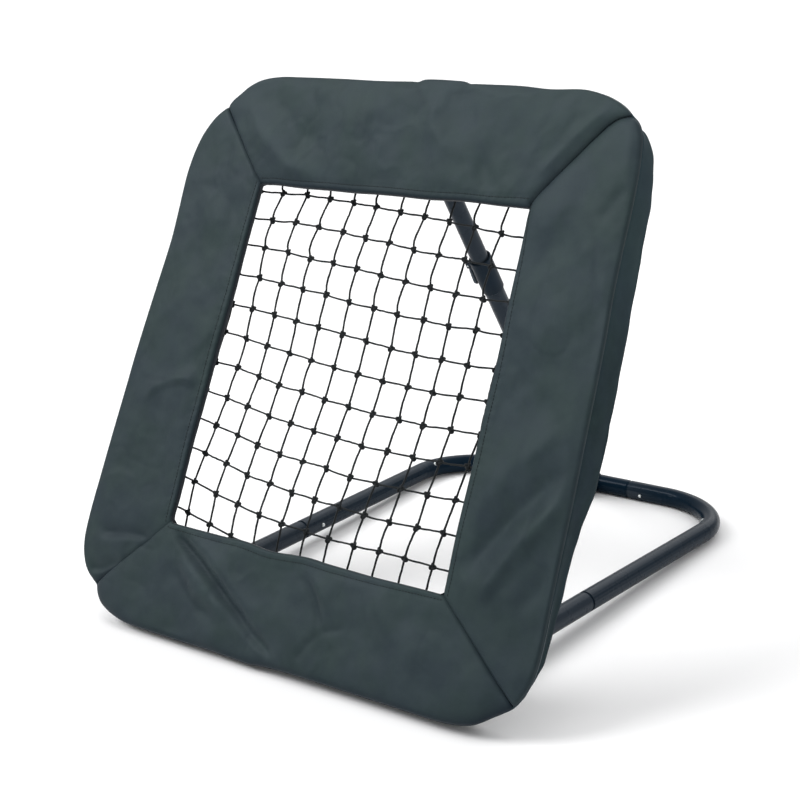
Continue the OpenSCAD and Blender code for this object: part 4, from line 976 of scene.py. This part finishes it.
net = mesh_object("knotted_net", place(np.concatenate([Vn, Vk])), Fn + Fk, [M_TWINE], uv=np.concatenate([Un, Uk]))
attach(net, "panel")
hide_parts("rebound_net")

# border rope: three strands laid together round a rounded rectangle
def rope():
    hx, hv, c = NX + 2.5, (NV1 - NV0) / 2 + 2.5, 20.0
    cv = (NV0 + NV1) / 2
    pts = []
    for qx, qv, a0 in ((1, 1, 90), (1, -1, 0), (-1, -1, -90), (-1, 1, -180)):
        for a in np.linspace(a0, a0 - 90, 9):
            pts.append((qx * (hx - c) + c * math.cos(math.radians(a)), cv + qv * (hv - c) + c * math.sin(math.radians(a))))
    P = np.array(pts)
    seg = np.linalg.norm(np.roll(P, -1, 0) - P, axis=1)
    s = np.concatenate([[0], np.cumsum(seg)])
    n = 1250
    q = np.arange(n) / n * s[-1]
    Pc = np.concatenate([P, P[:1]])
    C = np.stack([np.interp(q, s, Pc[:, 0]), np.interp(q, s, Pc[:, 1]), np.full(n, ND)], 1)
    T = np.roll(C, -1, 0) - np.roll(C, 1, 0)
    T /= np.linalg.norm(T, axis=1, keepdims=True)
    N = np.stack([-T[:, 1], T[:, 0], np.zeros(n)], 1)
    turns = round(s[-1] / 17)
    out = []
    for k in range(3):
        a = 2 * math.pi * (turns * np.arange(n) / n + k / 3)
        out.append(C + 1.22 * (np.cos(a)[:, None] * N + np.sin(a)[:, None] * np.array([0, 0, 1.0])))
    return out
Vr, Fr, Ur = sweep(rope(), [1.28] * 3, 6, closed=True)
o = mesh_object("net_border_rope", place(Vr), Fr, [M_CORD], uv=Ur)
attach(o, "panel")
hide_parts("net_border_cord")

# ---------------------------------------------------------------- clamp lever
def lever():
    """the cam lever: a boss round the pin, then a strip that widens into a rounded finger grip; prop coordinates from the pin"""
    from mathutils.geometry import tessellate_polygon
    from mathutils import Vector
    side = [(-3.30, -4.0), (-3.35, -8.0), (-3.5, -13.0), (-3.9, -20.0), (-4.35, -27.0), (-4.75, -33.0), (-4.95, -38.0), (-4.75, -41.0), (-4.1, -43.2), (-3.0, -44.5), (-1.8, -44.6),
            (-0.8, -43.6), (-0.1, -41.6), (0.35, -38.0), (0.75, -33.0), (1.05, -27.0), (1.2, -20.0), (1.2, -13.0), (1.15, -8.0), (1.3, -5.2)]
    side += [(0.25 + 3.7 * math.cos(math.radians(a)), 3.7 * math.sin(math.radians(a))) for a in range(-50, 181, 15)]
    S = np.array(side)
    c = S.mean(0)
    T = np.roll(S, -1, 0) - np.roll(S, 1, 0)
    T /= np.linalg.norm(T, axis=1, keepdims=True)
    N = np.stack([T[:, 1], -T[:, 0]], 1)
    if ((S - c) * N).sum() < 0:
        N = -N
    z = S[:, 1]
    w = 5.95 + 1.75 * smooth(-8.0, -14.0, z)
    w = w * np.sqrt(np.clip(1 - 0.72 * np.clip((-37.5 - z) / 7.2, 0, 1) ** 2, 0, 1))
    rows = [(-1, 0.75, 0.0), (-1, 0.22, 0.22), (-1, 0.0, 0.8), (1, 0.0, 0.8), (1, 0.22, 0.22), (1, 0.75, 0.0)]
    V, n = [], len(S)
    for sgn, cut_in, back in rows:
        q = S - N * cut_in
        V.append(np.stack([q[:, 0], sgn * (w - back), q[:, 1]], 1))
    hole = np.array([(1.56 * math.cos(a), 1.56 * math.sin(a)) for a in np.linspace(0, 2 * math.pi, 21)[:-1]])
    for sgn in (-1, 1):
        V.append(np.stack([hole[:, 0], np.full(20, sgn * 5.95), hole[:, 1]], 1))
    F = []
    for k in range(5):
        for i in range(n):
            j = (i + 1) % n
            F.append((k * n + i, k * n + j, (k + 1) * n + j, (k + 1) * n + i))
    h0, h1 = 6 * n, 6 * n + 20
    for i in range(20):
        j = (i + 1) % 20
        F.append((h0 + i, h0 + j, h1 + j, h1 + i))
    for k, h in ((0, h0), (5, h1)):
        loop = [Vector((p[0], p[2], 0)) for p in V[k]]
        ring = [Vector((p[0], p[1], 0)) for p in hole][::-1]
        ids = [k * n + i for i in range(n)] + [h + 19 - i for i in range(20)]
        for tri in tessellate_polygon([loop, ring]):
            F.append(tuple(ids[i] for i in tri))
    P = np.concatenate(V) + np.array([-19.9, 0, 543.0])
    a = math.radians(PROP_A)
    wld = np.stack([P[:, 0], 833 - 440 + P[:, 1] * math.cos(a) - P[:, 2] * math.sin(a), 18 + P[:, 1] * math.sin(a) + P[:, 2] * math.cos(a)], 1) / 1000
    o = mesh_object("clamp_lever_shaped", wld, F, [M_LEVER], smooth_shade=False)
    recalc(o)
    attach(o, "lever")
    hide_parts("cam_lever")
    return o
PROP_A = 90 - math.degrees(math.atan2(Z0 + 742 * CT - 52 * ST - 18, 833 - (742 * ST + 52 * CT)))
M_LEVER = plastic("lever_enamel_grey", (0.052, 0.068, 0.086), 0.34)
lever()

# ---------------------------------------------------------------- stitching
hem_row = n_out - 4
hp = np.concatenate([G[:, hem_row], G[:1, hem_row]])
for i0, i1 in zip([0] + [int(q) + 1 for q in np.where((leg > 0.02)[1:] != (leg > 0.02)[:-1])[0]], [int(q) + 1 for q in np.where((leg > 0.02)[1:] != (leg > 0.02)[:-1])[0]] + [NB]):
    if leg[(i0 + i1) // 2] < 0.02 and i1 - i0 > 8:
        q = hp[i0 + 1:i1 - 1]
        stitch_run(q, np.tile([0.0, 0.0, 1.0], (len(q), 1)), pitch=5.6, length=3.9)
Vs, Fs, Us = sweep(STITCH, [0.40] * len(STITCH), 6)
o = mesh_object("cover_stitching", place(Vs), Fs, [M_STITCH], uv=Us)
recalc(o)
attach(o, "panel")
